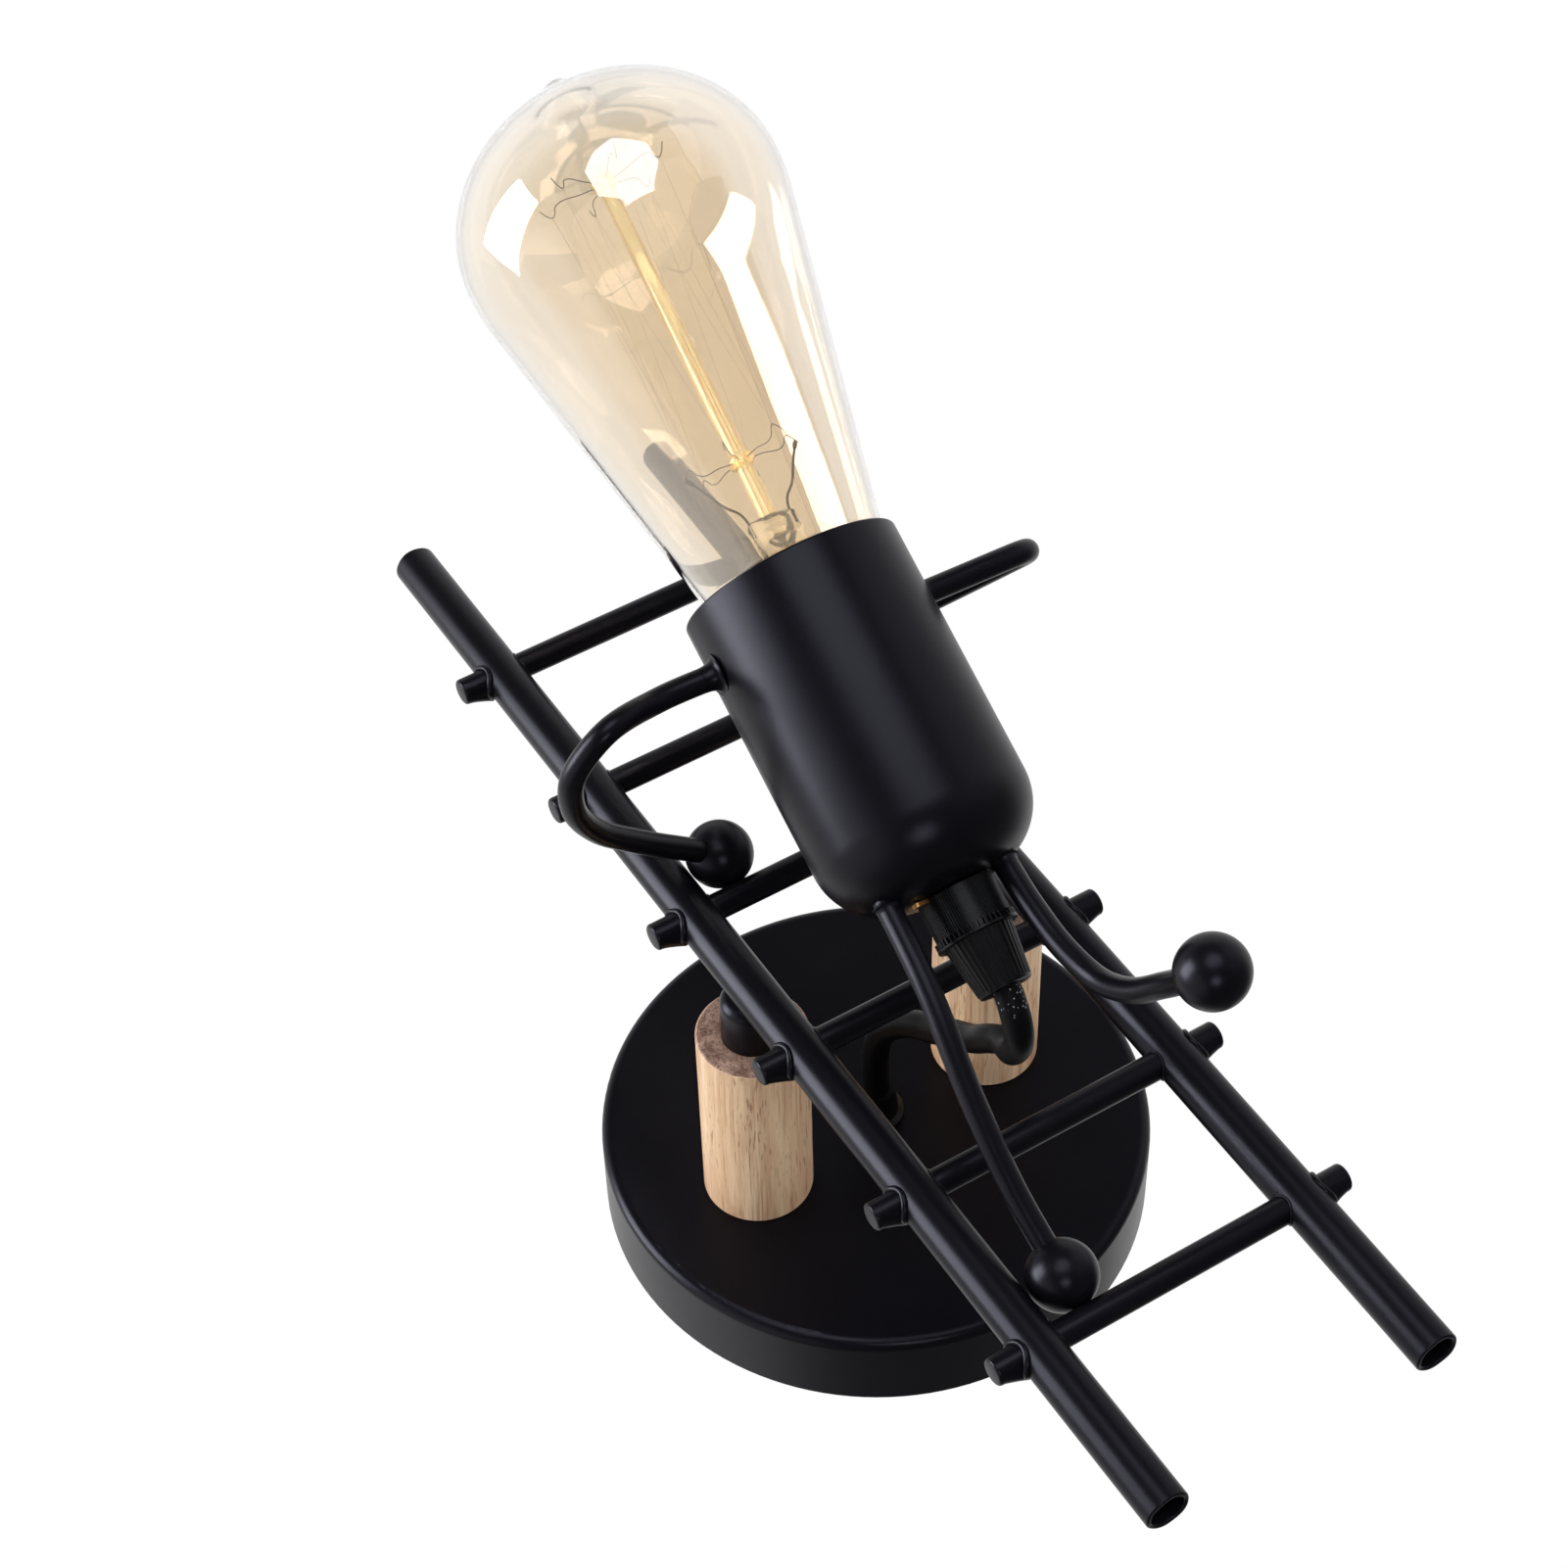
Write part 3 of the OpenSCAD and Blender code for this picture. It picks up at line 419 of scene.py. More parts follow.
def assembled(name, meshes, material, body, replaces=(), sharp=SHARP):
    """One piece from several meshes."""
    work = bmesh.new()
    for mesh in meshes:
        work.from_mesh(mesh)
    whole = bpy.data.meshes.new(name)
    work.to_mesh(whole)
    work.free()
    return finish_piece(whole, name, material, body, replaces, sharp)


def finish_material(name, build, **constants):
    """A material whose build(tree) gives the varying sockets and whose constants are set on the shader."""
    material = bpy.data.materials.new(name)
    material.use_nodes = True
    tree = Tree(material.node_tree)
    inputs = dict(constants)
    inputs.update(build(tree))
    shader = tree.node("ShaderNodeBsdfPrincipled", {}, inputs)
    tree.node("ShaderNodeOutputMaterial", {}, {"Surface": shader})
    return material


def tone(r, g, b):
    """A colour written as its 0 to 255 screen values, by the curve of the sRGB standard."""
    return tuple(c / 255 / 12.92 if c <= 10 else ((c / 255 + 0.055) / 1.055) ** 2.4 for c in (r, g, b))


# Finishes: scales are per metre, and a bump's depth is in metres
def coat_build(t):
    at = t.point()
    broad = t.noise(at, 55, 2)
    grain = t.noise(at, 2600, 2, 0.6)
    shade = t.mixed(broad, tone(9, 8, 12), tone(12, 11, 16))
    spots = t.specks(at, 95, 0.03, 0.045)
    return {"Base Color": t.mixed(spots, shade, tone(205, 208, 212)),
            "Roughness": 0.27 + 0.08 * broad + 0.03 * grain, "Normal": t.bump(grain, 0.000006)}


black_coat = finish_material("black_powder_coat", coat_build,
                             **{"Specular IOR Level": 0.18, "Specular Tint": (0.84, 0.83, 1.0, 1)})


# Wood along Y: the sawn end faces the room, and the foot near the base is darker
END_DEPTH = 0.25
FOOT_TOP = 34


def wood_build(t):
    fibre = t.between(t.noise(t.point((1, 0.05, 1)), 1700, 4, 0.65), 0.3, 0.7)
    streak = t.between(t.noise(t.point((1, 0.03, 1), (0.05, 0, 0.08)), 900, 3, 0.6, 0.4), 0.4, 0.66)
    lines = t.between(t.noise(t.point((1, 0.025, 1), (0.04, 0, 0.1)), 1500, 2, 0.5), 0.56, 0.7)
    band = t.noise(t.point((1, 0.05, 1), (0, 0, 0.1)), 150, 3, 0.55, 0.8)
    patches = t.between(t.noise(t.point((1, 0.3, 1)), 130, 2), 0.42, 0.6)
    pores = t.between(t.noise(t.point((1, 0.09, 1), (0.06, 0, 0.1)), 2300, 1, 0.4), 0.6, 0.68) * patches
    depth = t.node("ShaderNodeSeparateXYZ", {}, {"Vector": t.point()}, "Y")
    end = depth < -(BASE_DEPTH + POST_LEN - END_DEPTH) * MM
    body = t.ramp(band, [(0.3, tone(208, 165, 124)), (0.5, tone(229, 193, 151)), (0.7, tone(244, 217, 180))])
    body = t.mixed(0.6 * streak, body, tone(190, 141, 104))
    body = t.mixed(0.35 * fibre, body, tone(248, 224, 192))
    body = t.mixed(0.55 * lines, body, tone(166, 112, 74))
    foot = t.between(depth, -FOOT_TOP * MM, -BASE_DEPTH * MM)
    body = t.mixed(0.45 * foot * patches, body, tone(176, 108, 70))
    body = t.mixed(0.6 * pores, body, tone(134, 82, 46))
    dots = t.between(t.noise(t.point(), 2100, 2, 0.6), 0.53, 0.63)
    clouds = t.noise(t.point(), 300, 4, 0.6)
    cut = t.ramp(clouds, [(0.38, tone(134, 102, 86)), (0.62, tone(196, 162, 142))])
    cut = t.mixed(0.7 * dots, cut, tone(84, 56, 44))
    return {"Base Color": t.mixed(end, body, cut), "Roughness": 0.5 + 0.15 * fibre,
            "Normal": t.bump(fibre - 0.8 * pores, 0.00008)}


wood = finish_material("turned_post_wood", wood_build, **{"Specular IOR Level": 0.35})


def plastic_build(t):
    at = t.point()
    grain = t.noise(at, 1800, 2)
    dust = t.specks(at, 420, 0.02, 0.09)
    shade = t.mixed(grain, tone(4, 4, 6), tone(9, 9, 12))
    return {"Base Color": t.mixed(dust, shade, tone(190, 192, 196)), "Roughness": 0.25 + 0.15 * grain,
            "Normal": t.bump(grain, 0.00002)}


black_plastic = finish_material("black_moulded_plastic", plastic_build, **{"Specular IOR Level": 0.22})

# Cable sheath: streaks along its own map, and dust near its upper end
CABLE_WAY = "cable_way"
CABLE_EXIT = in_torso(0, 0, SLEEVE_END)
DUST_FROM_EXIT = (6.2, 1)


def sheath_build(t):
    way = t.node("ShaderNodeUVMap", {"uv_map": CABLE_WAY})
    streaks = t.noise(t.node("ShaderNodeMapping", {}, {"Vector": way, "Scale": (70, 5, 1)}), 1, 3, 0.6)
    far = t.node("ShaderNodeVectorMath", {"operation": "DISTANCE"}, {0: t.point(), 1: CABLE_EXIT * MM}, "Value")
    dusty = t.between(far, *(d * MM for d in DUST_FROM_EXIT))
    dust = t.specks(t.point(), 1800, 0.35, 0.3) * (dusty > 0.1) + t.specks(t.point(), 700, 0.03, 0.12)
    shade = t.mixed(streaks, tone(4, 4, 6), tone(11, 11, 14))
    return {"Base Color": t.mixed(dust, shade, tone(150, 152, 158)), "Roughness": 0.34 + 0.2 * streaks,
            "Normal": t.bump(streaks, 0.00006)}


black_cable = finish_material("black_cable_sheath", sheath_build, **{"Specular IOR Level": 0.12})


def metal_build(dull, bright, rough, spread):
    def build(t):
        at = t.point((1, 1, 0.15))
        worn = t.noise(at, 900, 4, 0.6)
        cloud = t.noise(t.point(), 120, 2)
        return {"Base Color": t.mixed(cloud, dull, bright), "Roughness": rough + spread * worn,
                "Normal": t.bump(worn, 0.00001)}
    return build


zinc_steel = finish_material("zinc_plated_steel", metal_build((0.48, 0.48, 0.5), (0.6, 0.6, 0.61), 0.28, 0.2),
                             Metallic=1.0)
black_screw = finish_material("black_zinc_screw", metal_build((0.02, 0.02, 0.022), (0.035, 0.035, 0.04), 0.3, 0.2),
                              Metallic=0.6)
brass = finish_material("raw_brass", metal_build((0.46, 0.22, 0.08), (0.62, 0.34, 0.13), 0.3, 0.2), Metallic=1.0)
solder = finish_material("solder_contact", metal_build((0.5, 0.5, 0.52), (0.68, 0.68, 0.7), 0.25, 0.35), Metallic=1.0)
nickel = finish_material("nickel_cap_metal", metal_build((0.62, 0.6, 0.56), (0.75, 0.73, 0.69), 0.2, 0.15),
                         Metallic=1.0)
lamp_wire = finish_material("lamp_wire", metal_build((0.09, 0.075, 0.065), (0.16, 0.14, 0.12), 0.3, 0.2),
                            Metallic=0.9)


def insulator_build(dark, light, rough):
    def build(t):
        cloud = t.noise(t.point(), 300, 3)
        return {"Base Color": t.mixed(cloud, dark, light), "Roughness": rough + 0.1 * cloud}
    return build


white_insulator = finish_material("white_insulator", insulator_build(tone(214, 210, 200), tone(236, 233, 225), 0.25))
black_glass = finish_material("black_base_glass", insulator_build(tone(12, 12, 14), tone(20, 20, 24), 0.08))
wire_tones = {"wire_green": (tone(36, 116, 52), tone(196, 190, 44)),
              "wire_brown": (tone(84, 48, 28), tone(104, 62, 38)),
              "wire_blue": (tone(26, 74, 150), tone(38, 96, 178))}
wires = {name: finish_material(name + "_sleeve", insulator_build(*tones, 0.4)) for name, tones in wire_tones.items()}

# Painted light: the amber is painted paler towards the dome and the left side, where light and reflections fall on
# the glass; how far up the bulb, and across it, in mm
DOME_PAINTED_LIGHT = (106, 124)
SIDE_PAINTED_LIGHT = (-16, 8)
BULB_AXIS = (BULB.to_3x3() @ Vector((0, 0, 1))).normalized()


def amber_build(t):
    flow = t.noise(t.point((1, 1, 0.4)), 16, 2)
    height = t.node("ShaderNodeVectorMath", {"operation": "DOT_PRODUCT"}, {0: t.point(), 1: BULB_AXIS}, "Value")
    dome = t.between(height, *((BULB.translation.dot(BULB_AXIS) + u) * MM for u in DOME_PAINTED_LIGHT))
    across = t.node("ShaderNodeSeparateXYZ", {}, {"Vector": t.point()}, "X")
    left = 1 - t.between(across, *(x * MM for x in SIDE_PAINTED_LIGHT))
    edge = t.node("ShaderNodeLayerWeight", {}, {"Blend": 0.5}, "Facing")
    tan = t.mixed(flow, (0.825, 0.69, 0.52), (0.87, 0.755, 0.59))
    # Painted light: the amber is made paler towards the dome and on the left side
    tan = t.mixed(0.8 * dome, t.mixed(0.6 * left, tan, (0.93, 0.83, 0.68)), (0.97, 0.89, 0.77))
    # Painted reflection: towards the outline the glass is painted pale for the white room it mirrors (thick is that
    # share), and at the very outline a painted dark violet edge stands in for the shade seen there
    thick = 0.85 * t.between(edge, 0.2, 0.3) + 0.15 * t.between(edge, 0.3, 0.5)
    painted_pale_reflection = t.mixed(thick, tan, (1.0, 0.985, 0.965))
    return {"Base Color": t.mixed(t.between(edge, 0.82, 0.94), painted_pale_reflection, (0.6, 0.52, 0.59))}


amber_glass = finish_material("amber_glass", amber_build, IOR=1.5, Roughness=0.0,
                              **{"Transmission Weight": 1.0, "Coat Weight": 1.0, "Coat IOR": 1.9,
                                 "Coat Roughness": 0.0})


def clear_build(t):
    return {"Base Color": t.mixed(t.noise(t.point(), 120, 2), (0.92, 0.9, 0.82), (0.98, 0.97, 0.92))}


clear_glass = finish_material("clear_stem_glass", clear_build, IOR=1.5, Roughness=0.0, **{"Transmission Weight": 1.0})


def golden_build(t):
    edge = t.node("ShaderNodeLayerWeight", {}, {"Blend": 0.5}, "Facing")
    flow = t.noise(t.point((1, 1, 0.1)), 700, 2)
    # Painted reflections: pale and dark stripes set by how squarely the rod faces, standing in for the bright lines
    # the rod mirrors
    painted_reflection_stripes = t.ramp(edge + 0.08 * flow - 0.04, [
        (0.0, (1.0, 0.99, 0.88)), (0.06, (1.0, 0.97, 0.66)), (0.11, (0.8, 0.54, 0.2)), (0.16, (1.0, 0.97, 0.66)),
        (0.4, (1.0, 0.99, 0.9)), (0.6, (0.75, 0.5, 0.2)), (0.8, (1.0, 0.97, 0.82))])
    # Painted glow: the same stripes also glow faintly, so the rod looks brighter than its surroundings
    return {"Base Color": painted_reflection_stripes, "Emission Color": t.mixed(0.6, painted_reflection_stripes, (1.0, 0.8, 0.36))}


golden_glass = finish_material("golden_rod_glass", golden_build, IOR=1.5, Roughness=0.0,
                               **{"Transmission Weight": 1.0, "Coat Weight": 1.0, "Coat IOR": 1.8,
                                  "Coat Roughness": 0.0, "Emission Strength": 0.1})
filament_wire = finish_material("filament_wire", metal_build((0.45, 0.38, 0.30), (0.58, 0.50, 0.40), 0.35, 0.2),
                                Metallic=0.5)

FINISHES = {"black_powder_coat": black_coat, "zinc_steel": zinc_steel, "black_screw": black_screw,
            "black_plastic": black_plastic, "white_insulator": white_insulator, "brass": brass,
            "post_wood": wood, "solder": solder, "black_glass": black_glass, "bulb_cap_metal": nickel,
            "amber_glass": amber_glass, "clear_glass": clear_glass, "lamp_wire": lamp_wire,
            "cable_rubber": black_cable, **wires}

# Every node of the frame takes its slot's finish
for entry in frame["record"]["subparts"]:
    mesh = nodes[entry["node"]].data
    mesh.materials.clear()
    mesh.materials.append(FINISHES[entry["material_slot"]])

# Cable: from the ribbed sleeve to the grip on the base, through the points of the part's source
CABLE_BENDS = [(-0.1, -102.2, -45.7), (-0.1, -97, -47.8), (1.2, -87.1, -44.4), (3.3, -81.5, -37.7),
               (3, -78.2, -34.1), (3.1, -73.3, -29.8), (2.3, -67.4, -22), (1.6, -63.8, -17.2),
               (0.9, -61.4, -13.3), (-1, -54.4, -6.4), (-1.2, -46.4, -2.9), (-1, -41.9, -1.9)]
CABLE_SIDES = 28
END_GAP = 0.3
grip_mouth = -BASE_DEPTH - BASE_GRIP_LEN
cable_route = [CABLE_EXIT] + CABLE_BENDS + [(0, grip_mouth, 0), (0, grip_mouth + CORD_SEAT - END_GAP, 0)]
cable_line = curve([in_torso(0, 0, SLEEVE_END + CORD_SEAT - END_GAP)] + cable_route, 1.0)
vertices, faces = tube_mesh(cable_line, CORD_D / 2, CABLE_SIDES)
cable = new_piece("cable", vertices, faces, black_cable, "root", ["flex_cable"])
way = cable.data.uv_layers.new(name=CABLE_WAY)
for polygon in cable.data.polygons:
    places = [divmod(cable.data.loops[i].vertex_index, CABLE_SIDES) for i in polygon.loop_indices]
    over_seam = any(around == CABLE_SIDES - 1 for along, around in places)
    for i, (along, around) in zip(polygon.loop_indices, places):
        if around == 0 and over_seam:
            around = CABLE_SIDES
        way.data[i].uv = (around / CABLE_SIDES, along / len(cable_line))
start = min(range(len(cable_line)), key=lambda i: (cable_line[i] - CABLE_EXIT).length)
cable_path = [tuple(p * MM) for p in cable_line[start:]]


# Torso cup, turned with a round lip
def arc(centre, radius, start, end, steps):
    """Points of an arc in the plane of (radius, height), between two angles in half turns."""
    angles = [math.pi * (start + (end - start) * k / steps) for k in range(steps + 1)]
    return [(centre[0] + radius * math.cos(a), centre[1] + radius * math.sin(a)) for a in angles]


NIPPLE_HOLE_R = 5.1
corner = (CUP_R - CUP_CORNER, CUP_CORNER)
lip_r = CUP_WALL / 2
cup_outline = ([(NIPPLE_HOLE_R, 0)] + arc(corner, CUP_CORNER, -0.5, 0, 24)
               + arc((CUP_R - lip_r, CUP_LEN - lip_r), lip_r, 0, 1, 12)
               + arc(corner, CUP_CORNER - CUP_WALL, 0, -0.5, 24) + [(NIPPLE_HOLE_R, CUP_WALL)])
vertices, faces = lathe_mesh(cup_outline, 180, TORSO)
new_piece("torso_cup", vertices, faces, black_coat, "root", ["socket_housing"], 50)


# Hands and feet: balls sunk a little into the rungs
BALL_SINK = 0.2


def on_rung(x, rung, angle):
    r = RUNG_D / 2 + BALL_D / 2 - BALL_SINK
    a = math.radians(angle)
    return Vector((x, -RAIL_OUT - r * math.sin(a), ((RUNGS + 1) / 2 - rung) * RUNG_PITCH + r * math.cos(a)))


GRIP_X = POST_SPACING / 2 - RAIL_D / 2 - BALL_D / 2 + 0.5
balls = {"left_hand": on_rung(-GRIP_X, 3, 23), "right_hand": on_rung(GRIP_X, 2, 90),
         "left_foot": on_rung(-GRIP_X + 0.7, 6, 11), "right_foot": by_cup(10.2, -32.3, -60.3)}
for name, centre in balls.items():
    vertices, faces = lathe_mesh(arc((0, 0), BALL_D / 2, -0.5, 0.5, 48), 96, Matrix.Translation(centre))
    new_piece(name + "_ball", vertices, faces, black_coat, "root", [name], 0)

# Limbs: bent rods that start in the cup's wall and end inside the balls
SHOULDER_IN = CUP_R - CUP_WALL
BALL_ENTRY = 3
HIP_IN = 1
right_shoulder = in_torso(SHOULDER_IN, 0, RIGHT_SHOULDER)


def hip(x, y):
    r = math.hypot(x, y)
    inner = max(0, r - CUP_R + CUP_CORNER)
    return in_torso(x, y, CUP_CORNER - math.sqrt(CUP_CORNER ** 2 - inner ** 2) + HIP_IN)


limbs = {
    "left_arm": [in_torso(-SHOULDER_IN, 0, LEFT_SHOULDER), in_torso(-CUP_R - 12, 0.5, LEFT_SHOULDER),
                 by_cup(-43.9, -25.4, 46.2), by_cup(-50.7, -16.3, 47.4), by_cup(-50.7, -7.1, 48.6),
                 by_cup(-45.5, 4.1, 50.2), by_cup(-38.5, 12.1, 51.4), balls["left_hand"]],
    "right_arm": [right_shoulder, in_torso(CUP_R + 8, 0, RIGHT_SHOULDER)]
                 + bend(right_shoulder, in_torso(RIGHT_REACH, 0, RIGHT_SHOULDER), balls["right_hand"], ELBOW_R)
                 + [balls["right_hand"]],
    "left_leg": [hip(-CUP_R * 0.65, -CUP_R * 0.14), by_cup(-15.9, 1.8, -15.7), by_cup(-18.2, 12.5, -33.3),
                 by_cup(-18.8, 22.7, -48.1), balls["left_foot"]],
    "right_leg": [hip(CUP_R * 0.42, -CUP_R * 0.23), by_cup(8.1, -2.8, -13), by_cup(8, -1.5, -23),
                  by_cup(8.8, -1.9, -32.4), by_cup(9.7, -7.2, -40.9), by_cup(11.2, -14.3, -47.2),
                  balls["right_foot"]]}
for name, route in limbs.items():
    ball_in = (route[-2] - route[-1]).normalized() * (BALL_D / 2 - BALL_ENTRY)
    vertices, faces = tube_mesh(curve(route[:-1] + [route[-1] + ball_in], 1.1), ROD_D / 2, 32)
    new_piece(name + "_rod", vertices, faces, black_coat, "root", [name])


# Welds of the limbs: hollow skirts from the cup's wall to the rod
SKIRT_SINK = 0.6
SKIRT_OVER_ROD = 0.3
SKIRT_HEM = (0.3, 0.05)


def weld_skirt(start, ahead, wall, reach, spread):
    """A flare of a reach along the rod and a spread over the wall, which lies that far ahead of the start."""
    r = ROD_D / 2
    outline = [(r - SKIRT_OVER_ROD, wall - SKIRT_SINK), (r + spread, wall - SKIRT_SINK),
               (r + spread + SKIRT_HEM[0], wall - SKIRT_HEM[1])]
    outline += [(r + spread * (1 - math.sin(a)), wall + reach * (1 - math.cos(a)))
                for a in [math.pi / 2 * k / 10 for k in range(11)]]
    outline += [(r - SKIRT_OVER_ROD, wall + reach)]
    place = Matrix.Translation(start) @ ahead.to_track_quat("Z", "Y").to_matrix().to_4x4()
    vertices, faces = lathe_mesh(outline, 48, place)
    back = TORSO.inverted()
    for i, v in enumerate(vertices):
        local = back @ v
        if local.z > CUP_CORNER:
            local.x += math.copysign(math.sqrt(CUP_R ** 2 - local.y ** 2) - CUP_R, local.x)
            vertices[i] = TORSO @ local
    return solid(vertices, faces)


torso_x = (TORSO.to_3x3() @ Vector((1, 0, 0))).normalized()
shoulder_wall = CUP_R - SHOULDER_IN
skirts = [weld_skirt(limbs["left_arm"][0], -torso_x, shoulder_wall, 3.0, 1.4),
          weld_skirt(limbs["right_arm"][0], torso_x, shoulder_wall, 1.8, 1.0)]
for name in ("left_leg", "right_leg"):
    start, below = limbs[name][:2]
    skirts.append(weld_skirt(start, (below - start).normalized(), 1.3, 1.3, 0.35))
assembled("limb_weld_skirts", skirts, black_coat, "root", ["limb_welds"], 60)

# Ladder: rails as tubes with worn mouths, rungs as rods with rounded ends
RAIL_X = POST_SPACING / 2
RAIL_EDGE = 0.35
MOUTH_WEAR = 0.22
WORN_FROM, WORN_OVER = 2, 1.6
rail_r, bore_r = RAIL_D / 2, RAIL_D / 2 - RAIL_WALL
mouth = (arc((rail_r - RAIL_EDGE, RAIL_LEN / 2 - RAIL_EDGE), RAIL_EDGE, 0, 0.5, 5)
         + arc((bore_r + RAIL_EDGE, RAIL_LEN / 2 - RAIL_EDGE), RAIL_EDGE, 0.5, 1, 5))
rail_outline = [(r, -z) for r, z in mouth[::-1]] + mouth
for name, x in (("left_rail", -RAIL_X), ("right_rail", RAIL_X)):
    vertices, faces = lathe_mesh(rail_outline, 112)
    for v in vertices:
        around = math.atan2(v.y, v.x)
        worn = MOUTH_WEAR * (0.5 + 0.3 * math.sin(2 * around + x) + 0.2 * math.sin(5 * around + 2))
        v.z -= math.copysign(worn, v.z) * min(1.0, max(0.0, (abs(v.z) - RAIL_LEN / 2 + WORN_FROM) / WORN_OVER))
    new_piece(name + "_tube", [v + Vector((x, -RAIL_OUT, 0)) for v in vertices], faces, black_coat, "root",
              [name], 60)

RUNG_EDGE = 0.6
TOP_RUNG_Z = (RUNGS - 1) / 2 * RUNG_PITCH
rung_half = RAIL_X + rail_r + NUB_LEN
end = arc((RUNG_D / 2 - RUNG_EDGE, rung_half - RUNG_EDGE), RUNG_EDGE, 0, 0.5, 5)
rung_outline = [(0.0, -rung_half)] + [(r, -z) for r, z in end[::-1]] + end + [(0.0, rung_half)]
first_rung = Matrix.Translation((0, -RAIL_OUT, TOP_RUNG_Z)) @ turned("Y", 90)
rungs = repeated(solid(*lathe_mesh(rung_outline, 72, first_rung)), black_coat, RUNGS, shift=(0, 0, -RUNG_PITCH))
assembled("rung_rods", [rungs], black_coat, "root",
          ["rung_%d" % (k + 1) for k in range(RUNGS)], 60)


# Welds of the rungs: a lip that follows the saddle round each rung, thicker below it on the rails' outer sides
LIP_STOPS = 48
LIP_SIDES = 10
LIP_OFF_RAIL = 0.05


def saddle_lip(side, outer, lip_r, drop_r):
    """The lip at a rail's side; it is lip_r thick above the rung and drop_r below it."""
    rise = RUNG_D / 2 + lip_r * 0.55
    line, thick = [], []
    for k in range(LIP_STOPS):
        a = 2 * math.pi * k / LIP_STOPS
        low = max(0.0, -math.cos(a)) ** 2
        r = rise + 0.4 * low * (drop_r - lip_r)
        x = side * RAIL_X + outer * (math.sqrt((RAIL_D / 2) ** 2 - (r * math.sin(a)) ** 2) + LIP_OFF_RAIL)
        line.append(Vector((x, -RAIL_OUT + r * math.sin(a), TOP_RUNG_Z + r * math.cos(a))))
        thick.append(lip_r + (drop_r - lip_r) * low)
    vertices = []
    for k, p in enumerate(line):
        ahead = (line[(k + 1) % LIP_STOPS] - line[k - 1]).normalized()
        out = (p - Vector((p.x, -RAIL_OUT, TOP_RUNG_Z))).normalized()
        across = ahead.cross(out).normalized()
        out = across.cross(ahead)
        for m in range(LIP_SIDES):
            t = 2 * math.pi * m / LIP_SIDES
            vertices.append(p + thick[k] * (math.cos(t) * out + math.sin(t) * across))
    return vertices, skin(LIP_STOPS, LIP_SIDES, closed=True)


WEB_END = 0.9
WEB_SHIFT = Vector((0, 0.9, -0.85))
WEB_STOPS = (-0.3, -0.1, 0.1, 0.3, 0.5, 0.75, 1)
WEB_UNDER = 0.04
lips = []
for side in (-1, 1):
    lips.append(solid(*saddle_lip(side, side, 0.58, 0.95)))
    lips.append(solid(*saddle_lip(side, -side, 0.22, 0.3)))
    web = [Vector((side * (RAIL_X + rail_r + t * (NUB_LEN - WEB_END)), -RAIL_OUT, TOP_RUNG_Z))
           + WEB_SHIFT * (1 - t) ** 1.3 for t in WEB_STOPS]
    lips.append(solid(*tube_mesh(web, RUNG_D / 2 - WEB_UNDER, 40)))
lips = [repeated(lip, black_coat, RUNGS, shift=(0, 0, -RUNG_PITCH), uneven=0.15) for lip in lips]
assembled("rung_weld_lips", lips, black_coat, "root", ["rung_welds"], 60)

# Lampholder's grip: ribbed cap, toothed ring and tapered sleeve
CAP_RIBS, CAP_RIB_W = 92, 0.26
RING_TEETH, TOOTH_W, TOOTH_H = 46, 0.56, 0.75
SLEEVE_RIBS, SLEEVE_RIB_W, SLEEVE_RIB_H = 36, 0.6, 0.16
RIB_H = 0.22
SLEEVE_R, SLEEVE_END_R = 6.85, 5.45
SLEEVE_SKIN = 0.25
CABLE_HOLE_R = 3.0
FLANGE_T = 0.6
CAP_TOP = -0.15
cap_r, ring_r = GRIP_D / 2, GRIP_RING_D / 2
cap_foot, tooth_foot = cap_r - RIB_H, ring_r - TOOTH_H
flange_top = SLEEVE_TOP + FLANGE_T
body_outline = [(CABLE_HOLE_R, CAP_TOP), (cap_foot - 0.3, CAP_TOP), (cap_foot, CAP_TOP - 0.3), (cap_foot, RING_TOP),
                (tooth_foot, RING_TOP - 0.15), (tooth_foot, flange_top), (ring_r - 0.1, flange_top),
                (ring_r, flange_top - 0.1), (ring_r, SLEEVE_TOP + 0.15), (ring_r - 0.15, SLEEVE_TOP),
                (SLEEVE_R - SLEEVE_SKIN, SLEEVE_TOP), (SLEEVE_END_R - SLEEVE_SKIN, SLEEVE_END + 0.75),
                (SLEEVE_END_D / 2 - 0.1, SLEEVE_END + 0.1), (SLEEVE_END_D / 2 - 0.4, SLEEVE_END),
                (CABLE_HOLE_R, SLEEVE_END)]


def rib(width, height, low, high):
    """A bar with a round back from one (radius, height) to another, whose foot is sunk by its height."""
    section = [(-width / 2, -height), (width / 2, -height), (width / 2, height * 0.45), (width / 4, height * 0.9),
               (-width / 4, height * 0.9), (-width / 2, height * 0.45)]
    return prism(*([(r + h, w, z) for w, h in section] for r, z in (low, high)))


cap_rib = rib(CAP_RIB_W, RIB_H, (cap_foot, RING_TOP - 0.1), (cap_foot, CAP_TOP - 0.2))
tooth = rib(TOOTH_W, TOOTH_H, (tooth_foot, SLEEVE_TOP + 0.2), (tooth_foot, RING_TOP - 0.1))
sleeve_rib = rib(SLEEVE_RIB_W, SLEEVE_RIB_H, (SLEEVE_END_R - SLEEVE_SKIN - 0.01, SLEEVE_END + 0.7),
                 (SLEEVE_R - SLEEVE_SKIN - 0.01, SLEEVE_TOP + 0.05))
grip_parts = [solid(*lathe_mesh(body_outline, 184))]
for copies, shape in ((CAP_RIBS, cap_rib), (RING_TEETH, tooth), (SLEEVE_RIBS, sleeve_rib)):
    grip_parts.append(repeated(solid(*shape), black_plastic, copies, turn=2 * math.pi / copies))
for mesh in grip_parts:
    placed(mesh, TORSO)
assembled("ribbed_grip", grip_parts, black_plastic, "root", ["lampholder_grip"], 35)

